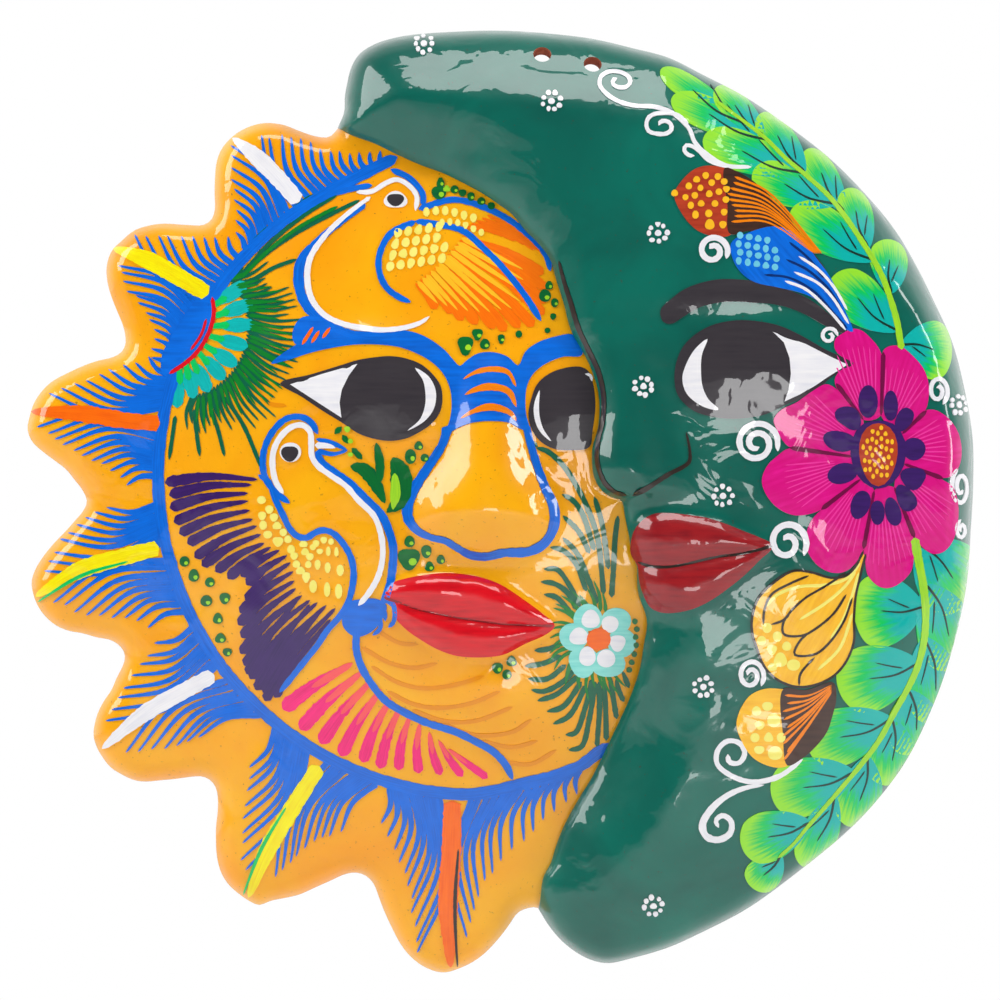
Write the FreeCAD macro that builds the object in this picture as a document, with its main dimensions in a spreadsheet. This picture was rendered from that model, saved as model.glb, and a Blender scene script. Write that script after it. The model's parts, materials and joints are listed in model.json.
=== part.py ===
import FreeCAD, Part
import math
import os

# Hand-built clay sun-and-moon wall plaque, in millimetres.
# X runs right, Z runs up, and the wall is the plane y = 0.  The relief faces -Y,
# so a point that stands h in front of the wall has y = -h.

doc = FreeCAD.newDocument("sun_and_moon_plaque")

# ---------------------------------------------------------------- driving sizes

DRIVING_SIZES = (
    ("clay_thickness", 6.5),       # slab of clay that every shell is pressed from
    ("rim_wall", 5.5),             # thickness of the wall that stands on the back rim
    ("foot_trim", 0.6),            # extra clay under the foot, scraped off flat against a board
    ("edge_round", 5.0),           # radius of the fingered front edge
    ("slip_gap", 0.12),            # slip between two pieces that are luted together
    ("sun_centre_across", -7.0),   # middle of the sun's face
    ("sun_centre_up", 8.0),
    ("sun_radius", 102.7),         # seam between the face and the rays
    ("sun_dome_rise", 42.0),       # front of the face above the wall, at its middle
    ("sun_seam_rise", 24.0),       # and at the seam with the rays
    ("ray_slope", 0.13),           # fall of a ray per millimetre away from the seam
    ("ray_crown", 2.5),            # how far the middle of a ray stands proud
    ("moon_centre_across", 1.6),
    ("moon_centre_up", 1.0),
    ("moon_dome_radius", 156.0),
    ("moon_dome_rise", 24.0),      # moon's dome above its own edge
    ("moon_edge_rise", 22.0),
    ("moon_step", 4.0),            # how far the moon's profile stands above the sun
    ("moon_lip", 13.0),            # depth of the moon's inner edge
    ("moon_bevel", 24.0),          # width of the slope down to the sun
    ("nose_rise", 9.0),
    ("lip_rise", 4.5),
    ("eye_rise", 2.4),
    ("applied_edge", 0.9),         # thickness of an applied piece at its edge
    ("hole_radius", 2.9),          # the two hanging holes
    ("hole_tilt", 22.0),           # degrees, square to the clay at the top edge
    ("hole_reach", 24.0),          # length of the stick that pierces each hole
    ("left_hole_across", 13.7),
    ("left_hole_up", 144.6),
    ("right_hole_across", 30.0),
    ("right_hole_up", 141.2),
)

sheet = doc.addObject("Spreadsheet::Sheet", "sizes")
for row, (alias, number) in enumerate(DRIVING_SIZES, start=1):
    sheet.set("A%d" % row, alias)
    sheet.set("B%d" % row, str(number))
    sheet.setAlias("B%d" % row, alias)
doc.recompute()


def size(alias):
    """A driving size, read back from the sheet."""
    return float(sheet.get(alias))


CLAY = size("clay_thickness")
WALL = size("rim_wall")
ROUND = size("edge_round")
GAP = size("slip_gap")
TRIM = size("foot_trim")
BOARD_SIDE = 400.0
SUN_X = size("sun_centre_across")
SUN_Z = size("sun_centre_up")
SUN_R = size("sun_radius")
MOON_X = size("moon_centre_across")
MOON_Z = size("moon_centre_up")

# ---------------------------------------------------------------- plan outlines

# Each ray runs from one valley to the next, counter-clockwise from the top horn.
RAY_OUTLINES = (
    ((-56.6, 116.9), (-62.6, 118.2), (-69.9, 121.1), (-77.0, 121.6),
     (-83.6, 119.3), (-90.0, 113.2), (-92.0, 104.0), (-92.0, 93.8), (-93.0, 90.5), (-95.8, 88.7)),
    ((-95.8, 88.7), (-99.9, 88.7), (-109.1, 89.2), (-118.3, 86.9), (-125.4, 80.5),
     (-127.1, 75.0), (-124.9, 64.2), (-121.6, 56.1), (-120.8, 52.5)),
    ((-120.8, 52.5), (-122.1, 47.7), (-130.0, 44.9), (-139.7, 41.0), (-148.4, 34.7), (-152.0, 27.0),
     (-152.2, 20.9), (-147.3, 15.3), (-139.9, 9.7), (-134.6, 3.0), (-133.3, -0.5)),
    ((-133.3, -0.5), (-137.4, -6.9), (-144.8, -14.8), (-150.4, -22.9), (-151.2, -28.2),
     (-147.3, -37.2), (-139.9, -42.1), (-130.0, -44.4), (-122.9, -46.9), (-121.1, -51.5)),
    ((-121.1, -51.5), (-123.9, -57.6), (-130.0, -68.9), (-131.4, -76.0), (-128.5, -83.1),
     (-122.3, -88.7), (-114.7, -91.0), (-105.0, -90.1), (-99.9, -89.4), (-96.3, -89.2)),
    ((-96.3, -89.2), (-91.7, -92.8), (-91.2, -100.9), (-91.8, -110.1), (-90.2, -120.3),
     (-83.6, -128.0), (-78.0, -130.8), (-69.9, -128.7), (-59.7, -125.2), (-50.0, -120.8), (-46.4, -120.3)),
    ((-46.4, -120.3), (-40.8, -123.9), (-37.7, -132.1), (-32.6, -142.8), (-25.5, -150.4), (-17.3, -152.8),
     (-9.7, -149.9), (-2.0, -143.0)),
)

# Seam between the sun and the moon, from the upper horn to the lower one.  The stations
# in the middle follow the moon's profile: brow, nose, lips and chin.
SEAM_UPPER_HORN = ((-52.3, 119.8), (-40.0, 114.1), (-28.4, 108.7))
SEAM_FOREHEAD = ((-18.3, 104.7), (-5.6, 98.1), (3.9, 91.3), (12.2, 81.9), (17.8, 70.5), (22.6, 53.9),
                 (28.9, 41.9), (31.3, 33.6), (31.0, 22.5), (29.4, 13.5), (31.4, 4.6))
SEAM_MOUTH = ((36.5, 0.4), (39.6, -4.6), (41.7, -15.0), (44.1, -23.5), (46.0, -34.0), (46.2, -44.0),
              (44.0, -55.8), (37.9, -71.3), (30.6, -87.0))
SEAM_LOWER_HORN = ((24.3, -102.0), (18.0, -117.0), (12.2, -131.4))

# Outer edge of the moon, one point opposite each station of the seam.
MOON_RIM_UPPER = ((-42.5, 146.3), (-29.6, 149.9), (-10.7, 151.2))
MOON_RIM_MIDDLE = ((5.0, 151.3), (28.9, 148.9), (54.4, 142.7), (84.0, 127.0), (108.5, 108.4), (125.0, 90.2),
                   (136.2, 72.2), (144.0, 56.0), (149.9, 36.0), (152.7, 18.0), (152.7, 4.0))
MOON_RIM_LOWER = ((152.1, -8.0), (150.9, -22.0), (147.8, -41.0), (142.6, -59.5), (134.8, -77.8),
                  (124.6, -93.8), (112.0, -107.2), (95.6, -120.6), (76.0, -134.2))
MOON_RIM_HORN = ((61.5, -141.4), (48.0, -146.7), (34.4, -149.6))

# Where the first and last rays are luted against the moon's horns: a point on the round
# seam, a point on the outline, and the place across the ray (0 is its edge).
UPPER_HORN_FLANK = ((-31.2, 109.2, -52.8, 119.2, 0.0), (-41.0, 105.1, -54.6, 117.8, 0.0))
LOWER_HORN_FLANK = ((9.4, -93.5, 4.0, -135.0, 0.9), (19.6, -91.4, 7.8, -132.2, 1.0),
                    (29.4, -87.8, 11.6, -131.5, 1.0))

# Rounded tips of the two horns, beyond the seam.
UPPER_HORN_TIP = ((-50.4, 124.9), (-47.2, 140.6))
LOWER_HORN_TIP = ((15.9, -136.6), (27.5, -147.4))

# ---------------------------------------------------------------- heights above the wall


def sun_height(across, up):
    """Front of the sun's domed face."""
    fraction = math.hypot(across - SUN_X, up - SUN_Z) / SUN_R
    dome = size("sun_dome_rise")
    return dome - (dome - size("sun_seam_rise")) * fraction ** 2


def moon_dome(across, up):
    """Front of the moon, before it slopes down to the sun."""
    fraction = min(1.0, math.hypot(across - MOON_X, up - MOON_Z) / size("moon_dome_radius"))
    return size("moon_edge_rise") + size("moon_dome_rise") * math.sqrt(1.0 - fraction ** 2)


def seam_height(across, up):
    """Front of the moon along the seam: a step above the sun or its rays."""
    distance = math.hypot(across - SUN_X, up - SUN_Z)
    if distance < SUN_R:
        return sun_height(across, up) + size("moon_step")
    beyond = distance - SUN_R
    return size("sun_seam_rise") - size("ray_slope") * beyond + size("moon_step")


def ease(fraction):
    """Smooth step from 0 to 1."""
    clamped = max(0.0, min(1.0, fraction))
    return clamped * clamped * (3.0 - 2.0 * clamped)


# ---------------------------------------------------------------- sections and lofts


class Chord:
    """A straight cut through the plaque, square to the wall, between two plan points."""

    def __init__(self, start, end):
        self.start = start
        self.width = math.dist(start, end)
        self.heading = ((end[0] - start[0]) / self.width, (end[1] - start[1]) / self.width)

    def plan(self, along):
        return (self.start[0] + along * self.heading[0], self.start[1] + along * self.heading[1])

    def point(self, along, height):
        across, up = self.plan(along)
        return FreeCAD.Vector(across, -height, up)


def spline(points):
    curve = Part.BSplineCurve()
    curve.interpolate(points)
    return curve.toShape()


def line(start, end):
    return Part.makeLine(start, end)


def slopes(places, values):
    """Slopes of a curve through values that never overshoots them."""
    count = len(values)
    rates = [(values[i + 1] - values[i]) / (places[i + 1] - places[i]) for i in range(count - 1)]
    result = [rates[0]]
    for before, after in zip(rates, rates[1:]):
        together = before * after
        result.append(2.0 * together / (before + after) if together > 0.0 else 0.0)
    result.append(rates[-1])
    return result


def refine(rows, steps=3):
    """Rows of numbers with steps - 1 smoothly eased rows added between each pair."""
    places = [0.0]
    for before, after in zip(rows, rows[1:]):
        places.append(places[-1] + math.dist(before, after))
    columns = list(zip(*rows))
    tangents = [slopes(places, column) for column in columns]
    result = []
    for i in range(len(rows) - 1):
        span = places[i + 1] - places[i]
        for step in range(steps):
            u = step / steps
            rise = u * u * (3.0 - 2.0 * u)
            leave = u * (1.0 - u) ** 2 * span
            arrive = -u * u * (1.0 - u) * span
            result.append(tuple(
                column[i] + (column[i + 1] - column[i]) * rise + tangent[i] * leave + tangent[i + 1] * arrive
                for column, tangent in zip(columns, tangents)))
    result.append(tuple(rows[-1]))
    return result


def loft(wires):
    """One closed solid through a row of section wires."""
    solid = Part.makeLoft(wires, True, False)
    if solid.ShapeType != "Solid":
        solid = solid.Solids[0]
    if solid.Volume < 0:
        solid.reverse()
    return solid


def rim_section(chord, front, hollow, inner_edge):
    """Section of a shell with a rounded outer edge and a wall that stands on the rim.

    front(along) is the height of the front, hollow (0 to 1) says how far the back is
    hollowed out, and inner_edge is the thickness where the section starts.
    """
    width = chord.width
    edge_height = front(width - ROUND)
    flat = width - ROUND
    corner = ROUND * math.sqrt(0.5)
    shoulder = chord.point(flat, edge_height)
    arc_middle = chord.point(flat + corner, edge_height - ROUND + corner)
    wall_top = chord.point(width, edge_height - ROUND)
    wall_foot = chord.point(width, -TRIM)
    inner_foot = chord.point(width - WALL, -TRIM)

    def back(along):
        full = front(along) - CLAY
        return 1.0 + (full - 1.0) * hollow

    cove = ROUND * 0.6
    cove_start = chord.point(width - WALL, back(flat) * 0.6)
    cove_end = chord.point(width - WALL - cove, back(width - WALL - cove))
    cove_middle = chord.point(width - WALL - cove * 0.25, back(flat) * 0.86)
    inner_bottom = chord.point(0.0, front(0.0) - inner_edge)
    fractions = (0.0, 0.1, 0.25, 0.45, 0.65, 0.85)
    front_points = [chord.point(flat * share, front(flat * share)) for share in fractions]
    reach = width - WALL - cove
    back_points = [chord.point(reach * share, back(reach * share)) for share in (0.8, 0.55, 0.3)]
    return Part.Wire([
        spline(front_points + [shoulder]),
        Part.Arc(shoulder, arc_middle, wall_top).toShape(),
        line(wall_top, wall_foot),
        line(wall_foot, inner_foot),
        line(inner_foot, cove_start),
        spline([cove_start, cove_middle, cove_end]),
        spline([cove_end] + back_points + [inner_bottom]),
        line(inner_bottom, front_points[0]),
    ])


def slab_section(chord, front):
    """Section of a shell that has no rim of its own: the same thickness all the way."""
    stations = [chord.width * share for share in (0.0, 0.12, 0.3, 0.5, 0.7, 0.88, 1.0)]
    top = [chord.point(along, front(*chord.plan(along))) for along in stations]
    bottom = [chord.point(along, front(*chord.plan(along)) - CLAY) for along in reversed(stations)]
    return Part.Wire([spline(top), line(top[-1], bottom[0]), spline(bottom), line(bottom[-1], top[0])])


def feature(name, shape):
    """A document object for a piece that Part's own functions shaped."""
    piece = doc.addObject("Part::Feature", name)
    piece.Shape = shape
    piece.Placement = FreeCAD.Placement()
    piece.Label = name
    return piece


def make_board(name):
    """The flat board that a shell's foot is scraped level against: the wall's side of the wall plane."""
    board = doc.addObject("Part::Box", name)
    board.Length = BOARD_SIDE
    board.Height = BOARD_SIDE
    board.setExpression("Width", "2 * sizes.foot_trim")
    board.Placement.Base = FreeCAD.Vector(-0.5 * BOARD_SIDE, 0.0, -0.5 * BOARD_SIDE)
    return board


def scrape(name, shell):
    """A shell cut level with the wall plane, so its foot is one flat face."""
    level = doc.addObject("Part::Cut", name)
    level.Base = shell
    level.Tool = make_board(name + "_board")
    level.Label = name
    return level


# ---------------------------------------------------------------- the sun


def seam_point(angle, radius):
    """Plan point at an angle in degrees round the middle of the sun."""
    turn = math.radians(angle)
    return (SUN_X + radius * math.cos(turn), SUN_Z + radius * math.sin(turn))


def make_sun_face():
    """The domed face: chords fan from the round seam to the moon's profile."""
    seam = SEAM_UPPER_HORN[-1:] + SEAM_FOREHEAD + SEAM_MOUTH
    first_angle = 104.6
    last_angle = 289.8
    rows = []
    for index, (across, up) in enumerate(seam):
        angle = first_angle + (last_angle - first_angle) * index / (len(seam) - 1)
        rows.append((angle, across, up))
    wires = []
    for angle, across, up in refine(rows, 2):
        chord = Chord(seam_point(angle, SUN_R - GAP), (across, up))
        chord.width -= GAP
        wires.append(slab_section(chord, sun_height))
    return feature("sun_face", loft(wires))


def ray_section(seam_start, rim_point, across_share):
    """Section of a ray from the seam with the face out to its outline."""
    chord = Chord(seam_start, rim_point)
    crown = size("ray_crown") * math.sin(math.pi * across_share)

    def front(along):
        return size("sun_seam_rise") - size("ray_slope") * along + crown * ease(along / 20.0)

    return rim_section(chord, front, 1.0, CLAY)


def make_ray(number, outline):
    """One ray: radial sections from valley to valley, a slip gap short at each end."""
    rows = []
    last = len(outline) - 1
    for index, (across, up) in enumerate(outline):
        reach = math.hypot(across - SUN_X, up - SUN_Z)
        angle = math.degrees(math.atan2(up - SUN_Z, across - SUN_X))
        slip = math.degrees(GAP / reach)
        if index == 0:
            angle += slip
        if index == last:
            angle -= slip
        rows.append(seam_point(angle, SUN_R + GAP) + seam_point(angle, reach) + (index / last,))
    if number == 1:
        rows[:0] = UPPER_HORN_FLANK
    if number == len(RAY_OUTLINES):
        rows += LOWER_HORN_FLANK
    wires = [ray_section(row[0:2], row[2:4], row[4]) for row in refine(rows, 2)]
    shell = feature("sun_ray_%d_shell" % number, loft(wires))
    return scrape("sun_ray_%d" % number, shell)


# ---------------------------------------------------------------- the moon


def moon_section(seam_end, rim_end, hollow):
    """Section of the crescent from the seam with the sun out to its rim."""
    chord = Chord(seam_end, rim_end)
    bevel = min(size("moon_bevel"), 0.5 * chord.width)
    low = seam_height(*seam_end)

    def front(along):
        dome = moon_dome(*chord.plan(along))
        return low + (dome - low) * ease(along / bevel)

    return rim_section(chord, front, hollow, size("moon_lip"))


def make_moon_shell():
    seam = SEAM_UPPER_HORN + SEAM_FOREHEAD + SEAM_MOUTH + SEAM_LOWER_HORN
    rim = MOON_RIM_UPPER + MOON_RIM_MIDDLE + MOON_RIM_LOWER + MOON_RIM_HORN
    rows = [UPPER_HORN_TIP[0] + UPPER_HORN_TIP[1] + (0.0,)]
    for index, (inner, outer) in enumerate(zip(seam, rim)):
        at_horn = index == 0 or index == len(seam) - 1
        rows.append(inner + outer + (0.0 if at_horn else 1.0,))
    rows.append(LOWER_HORN_TIP[0] + LOWER_HORN_TIP[1] + (0.0,))
    wires = [moon_section(row[0:2], row[2:4], row[4]) for row in refine(rows, 2)]
    return feature("moon_shell", loft(wires))


def make_hole_tool(name, across_alias, up_alias):
    """The stick that pierces a hanging hole, square to the clay at the moon's top edge."""
    across = size(across_alias)
    up = size(up_alias)
    tilt = math.radians(size("hole_tilt"))
    lean = math.atan2(across - MOON_X, up - MOON_Z)
    outward = FreeCAD.Vector(math.sin(tilt) * math.sin(lean), -math.cos(tilt), math.sin(tilt) * math.cos(lean))
    middle = FreeCAD.Vector(across, -moon_dome(across, up), up)
    stick = doc.addObject("Part::Cylinder", name)
    stick.setExpression("Radius", "sizes.hole_radius")
    stick.setExpression("Height", "sizes.hole_reach")
    half = outward * (0.5 * size("hole_reach"))
    stick.Placement = FreeCAD.Placement(middle - half, FreeCAD.Rotation(FreeCAD.Vector(0, 0, 1), outward))
    return stick


def make_moon():
    """The crescent, pierced twice near its top edge for a hanging wire."""
    shell = make_moon_shell()
    left = make_hole_tool("left_hole_stick", "left_hole_across", "left_hole_up")
    right = make_hole_tool("right_hole_stick", "right_hole_across", "right_hole_up")
    sticks = doc.addObject("Part::MultiFuse", "hole_sticks")
    sticks.Shapes = [left, right, make_board("moon_board")]
    moon = doc.addObject("Part::Cut", "moon_crescent")
    moon.Base = shell
    moon.Tool = sticks
    moon.Label = "moon_crescent"
    return moon


# ---------------------------------------------------------------- applied features


class Relief:
    """The front of a shell as facets, sorted into cells of the plan for quick look-up."""

    CELL = 4.0

    def __init__(self, shape):
        self.corners, facets = shape.tessellate(0.05)
        self.cells = {}
        for facet in facets:
            xs = [self.corners[i].x for i in facet]
            zs = [self.corners[i].z for i in facet]
            for column in range(int(min(xs) // self.CELL), int(max(xs) // self.CELL) + 1):
                for row in range(int(min(zs) // self.CELL), int(max(zs) // self.CELL) + 1):
                    self.cells.setdefault((column, row), []).append(facet)

    def height(self, across, up):
        """Height of the front above one plan point."""
        best = 0.0
        for facet in self.cells.get((int(across // self.CELL), int(up // self.CELL)), ()):
            a, b, c = (self.corners[i] for i in facet)
            area = (b.x - a.x) * (c.z - a.z) - (c.x - a.x) * (b.z - a.z)
            if abs(area) < 1e-9:
                continue
            v = ((across - a.x) * (c.z - a.z) - (c.x - a.x) * (up - a.z)) / area
            w = ((b.x - a.x) * (up - a.z) - (across - a.x) * (b.z - a.z)) / area
            if min(v, w, 1.0 - v - w) >= -1e-6:
                best = max(best, -(a.y + v * (b.y - a.y) + w * (c.y - a.y)))
        return best


def make_applied(name, relief, stations, rise):
    """A pad of clay luted on a shell: a dome across every station, thin at its edge.

    Each station is (start, end, share): two plan points and the share of the rise there.
    """
    edge = size("applied_edge")
    wires = []
    for row in refine([start + end + (share,) for start, end, share in stations], 2):
        share = row[4]
        chord = Chord(row[0:2], row[2:4])
        top = []
        bottom = []
        for step in range(9):
            fraction = step / 8.0
            along = chord.width * fraction
            base = relief.height(*chord.plan(along)) + 2.0 * GAP
            swell = 1.0 - (2.0 * fraction - 1.0) ** 2
            top.append(chord.point(along, base + edge + rise * share * swell ** 0.8))
            bottom.append(chord.point(along, base))
        bottom.reverse()
        wires.append(Part.Wire([spline(top), line(top[-1], bottom[0]),
                                spline(bottom), line(bottom[-1], top[0])]))
    return feature(name, loft(wires))


SUN_NOSE = (
    ((-12.6, 40.0), (5.6, 40.0), 0.25), ((-14.6, 30.0), (7.6, 29.0), 0.45),
    ((-17.0, 18.0), (10.4, 17.0), 0.7), ((-23.5, 7.0), (14.0, 6.0), 0.95),
    ((-28.5, -2.0), (16.8, -1.0), 1.0), ((-26.5, -9.5), (16.0, -9.0), 0.8),
    ((-15.0, -15.0), (8.0, -15.5), 0.35),
)
SUN_LEFT_EYE = (
    ((-66.5, 37.2), (-66.0, 35.2), 0.1), ((-58.0, 41.0), (-57.0, 30.0), 0.5),
    ((-47.0, 44.8), (-47.0, 24.0), 0.9), ((-36.0, 45.2), (-36.0, 19.8), 1.0),
    ((-27.0, 42.8), (-27.0, 21.6), 0.8), ((-20.6, 38.0), (-20.6, 27.0), 0.3),
)
SUN_RIGHT_EYE = (
    ((10.4, 33.0), (10.4, 26.0), 0.2), ((14.0, 38.2), (14.0, 20.0), 0.7),
    ((19.0, 40.6), (19.0, 17.2), 1.0), ((23.6, 41.2), (24.6, 16.4), 1.0),
    ((27.4, 39.6), (28.0, 17.0), 0.8),
)
SUN_UPPER_LIP = (
    ((-34.5, -29.0), (-34.5, -30.6), 0.1), ((-27.0, -24.6), (-27.0, -33.6), 0.8),
    ((-17.0, -23.8), (-17.0, -36.2), 1.0), ((-5.0, -25.4), (-5.0, -38.2), 1.0),
    ((5.0, -30.6), (5.0, -39.4), 0.8), ((14.0, -37.4), (14.0, -39.4), 0.1),
)
SUN_LOWER_LIP = (
    ((-34.0, -32.4), (-34.0, -34.2), 0.1), ((-27.0, -35.0), (-27.0, -41.0), 0.8),
    ((-17.0, -37.2), (-17.0, -47.8), 1.0), ((-5.0, -39.2), (-5.0, -49.4), 1.0),
    ((5.0, -40.4), (5.0, -46.8), 0.8), ((13.0, -40.8), (13.0, -42.8), 0.1),
)
MOON_NOSE = (
    ((31.0, 48.0), (37.0, 48.0), 0.15), ((33.4, 38.0), (43.0, 38.0), 0.3),
    ((33.6, 28.0), (47.5, 27.0), 0.45), ((32.4, 17.5), (53.5, 18.0), 0.65),
    ((34.0, 8.5), (57.0, 12.5), 0.8), ((37.5, 3.4), (50.0, 7.5), 0.4),
)
MOON_UPPER_LIP = (
    ((43.4, -8.4), (44.0, -18.6), 0.4), ((50.0, -5.0), (50.0, -20.0), 0.9),
    ((58.0, -4.8), (58.0, -19.6), 1.0), ((68.0, -6.4), (68.0, -17.8), 0.8),
    ((77.0, -10.8), (77.0, -16.0), 0.4), ((84.0, -13.6), (84.0, -15.0), 0.1),
)
MOON_LOWER_LIP = (
    ((46.6, -21.8), (47.6, -31.6), 0.5), ((52.0, -22.2), (52.0, -34.6), 0.9),
    ((60.0, -21.4), (60.0, -34.2), 1.0), ((69.0, -19.4), (69.0, -29.0), 0.8),
    ((77.0, -17.6), (77.0, -22.6), 0.4), ((82.0, -16.4), (82.0, -18.0), 0.1),
)
MOON_EYE = (
    ((57.6, 41.0), (57.6, 33.6), 0.2), ((63.0, 50.4), (63.0, 28.4), 0.7),
    ((72.0, 55.6), (72.0, 26.8), 1.0), ((83.0, 55.6), (83.0, 28.6), 1.0),
    ((95.0, 50.6), (95.0, 33.4), 0.6), ((107.0, 44.8), (107.0, 40.8), 0.1),
)

# ---------------------------------------------------------------- build and check

sun_face = make_sun_face()
rays = [make_ray(number, outline) for number, outline in enumerate(RAY_OUTLINES, start=1)]
moon = make_moon()
doc.recompute()

sun_relief = Relief(sun_face.Shape)
moon_relief = Relief(moon.Shape)
applied = [
    make_applied("sun_nose", sun_relief, SUN_NOSE, size("nose_rise")),
    make_applied("sun_left_eye", sun_relief, SUN_LEFT_EYE, size("eye_rise")),
    make_applied("sun_right_eye", sun_relief, SUN_RIGHT_EYE, size("eye_rise")),
    make_applied("sun_upper_lip", sun_relief, SUN_UPPER_LIP, size("lip_rise")),
    make_applied("sun_lower_lip", sun_relief, SUN_LOWER_LIP, size("lip_rise")),
    make_applied("moon_nose", moon_relief, MOON_NOSE, size("nose_rise") * 0.7),
    make_applied("moon_eye", moon_relief, MOON_EYE, size("eye_rise")),
    make_applied("moon_upper_lip", moon_relief, MOON_UPPER_LIP, size("lip_rise") * 0.8),
    make_applied("moon_lower_lip", moon_relief, MOON_LOWER_LIP, size("lip_rise") * 0.8),
]
doc.recompute()

nodes = [moon, sun_face] + rays + applied

for item in doc.Objects:
    if "Invalid" in item.State or "Error" in item.State:
        raise RuntimeError("%s did not recompute: %s" % (item.Name, item.State))
for node in nodes:
    if node.Shape.isNull() or not node.Shape.isValid():
        raise RuntimeError("%s has no valid shape" % node.Label)
    if len(node.Shape.Solids) != 1:
        raise RuntimeError("%s has %d solids" % (node.Label, len(node.Shape.Solids)))

os.makedirs("parts", exist_ok=True)
for node in nodes:
    node.Shape.exportStep("parts/%s.step" % node.Label)
    box = node.Shape.BoundBox
    print("%-16s %9.0f mm3   X %7.1f %7.1f   Y %6.1f %6.1f   Z %7.1f %7.1f" % (
        node.Label, node.Shape.Volume, box.XMin, box.XMax, box.YMin, box.YMax, box.ZMin, box.ZMax))
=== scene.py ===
import json
import math

import bpy
import numpy as np
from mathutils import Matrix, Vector
from mathutils.geometry import delaunay_2d_cdt


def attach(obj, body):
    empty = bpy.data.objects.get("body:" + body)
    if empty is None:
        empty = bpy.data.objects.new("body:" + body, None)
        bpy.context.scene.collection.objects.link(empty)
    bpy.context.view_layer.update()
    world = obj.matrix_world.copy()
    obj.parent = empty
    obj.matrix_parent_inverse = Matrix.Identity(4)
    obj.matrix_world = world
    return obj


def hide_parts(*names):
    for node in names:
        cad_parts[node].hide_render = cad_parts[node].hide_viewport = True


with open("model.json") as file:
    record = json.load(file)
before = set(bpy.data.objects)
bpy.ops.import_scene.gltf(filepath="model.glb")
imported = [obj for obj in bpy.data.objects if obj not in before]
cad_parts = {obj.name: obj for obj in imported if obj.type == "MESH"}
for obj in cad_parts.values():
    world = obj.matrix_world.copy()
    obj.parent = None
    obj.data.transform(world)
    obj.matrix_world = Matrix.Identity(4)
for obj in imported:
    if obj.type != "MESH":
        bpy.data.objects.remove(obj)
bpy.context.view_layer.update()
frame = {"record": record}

# A hand-painted clay sun and moon that hangs on a wall.  The clay is rebuilt here as two
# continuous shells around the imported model, and every brush mark is a thin layer of paint
# that follows the clay.  Plan points are (across, up) in millimetres from the frame's
# origin, and heights are millimetres in front of the wall plane, so the relief faces -Y.

MM = 0.001
rng = np.random.default_rng(7)

# ------------------------------------------------------------------ outlines of the clay

RAY_RIM = (
    (-52.3, 119.8), (-54.6, 117.3), (-56.6, 116.9), (-60.2, 117.5), (-65.3, 119.3), (-69.9, 121.1),
    (-77.0, 121.6), (-83.6, 119.3), (-87.1, 116.7), (-90.0, 113.2), (-91.5, 109.1), (-92.0, 104.0),
    (-92.1, 98.9), (-92.0, 93.8), (-93.0, 90.5), (-95.8, 88.7), (-99.9, 88.7), (-109.1, 89.2),
    (-114.2, 88.4), (-118.3, 86.9), (-122.3, 83.6), (-125.4, 80.5), (-127.1, 75.0), (-126.4, 68.8),
    (-124.9, 64.2), (-123.1, 59.9), (-121.6, 56.1), (-120.8, 52.5), (-120.9, 50.0), (-122.1, 47.7),
    (-124.9, 46.1), (-130.0, 44.9), (-134.6, 43.3), (-139.7, 41.0), (-144.8, 38.2), (-148.4, 34.7),
    (-150.7, 31.1), (-152.0, 27.0), (-152.7, 23.4), (-152.2, 20.9), (-150.7, 18.3), (-147.3, 15.3),
    (-143.8, 12.7), (-139.9, 9.7), (-137.4, 6.6), (-134.6, 3.0), (-133.3, -0.5), (-134.6, -3.6),
    (-137.4, -6.9), (-139.9, -9.7), (-144.8, -14.8), (-148.4, -19.4), (-150.4, -22.9), (-151.4, -26.5),
    (-150.9, -30.1), (-149.6, -33.7), (-147.3, -37.2), (-143.8, -40.3), (-139.9, -42.1), (-134.6, -43.1),
    (-130.0, -44.4), (-125.9, -45.1), (-122.9, -46.9), (-121.3, -49.0), (-121.1, -51.5), (-122.3, -54.6),
    (-123.9, -57.6), (-125.4, -61.2), (-128.0, -65.0), (-130.0, -68.9), (-131.0, -72.4), (-131.4, -76.0),
    (-130.3, -80.0), (-128.5, -83.1), (-125.9, -86.4), (-122.3, -88.7), (-118.3, -90.5), (-114.7, -91.0),
    (-110.1, -90.6), (-105.0, -90.1), (-99.9, -89.4), (-96.3, -89.2), (-93.8, -90.2), (-91.7, -92.8),
    (-91.1, -96.3), (-91.2, -100.9), (-91.7, -105.0), (-91.8, -110.1), (-91.5, -115.2), (-90.2, -120.3),
    (-87.7, -124.4), (-83.6, -128.0), (-80.5, -130.0), (-78.0, -131.0), (-73.9, -129.5), (-69.9, -128.7),
    (-64.8, -127.5), (-59.7, -125.2), (-54.6, -122.9), (-50.0, -120.8), (-46.4, -120.3), (-43.3, -121.3),
    (-40.8, -123.9), (-39.2, -128.0), (-37.7, -132.1), (-35.2, -137.7), (-32.6, -142.8), (-29.6, -146.9),
    (-25.5, -150.4), (-20.9, -152.5), (-17.3, -152.8), (-13.7, -151.7), (-9.7, -149.9), (-5.6, -147.1),
    (-0.5, -141.8), (3.0, -137.2), (6.0, -133.1), (10.8, -131.5), (12.4, -131.8),
)
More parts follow.
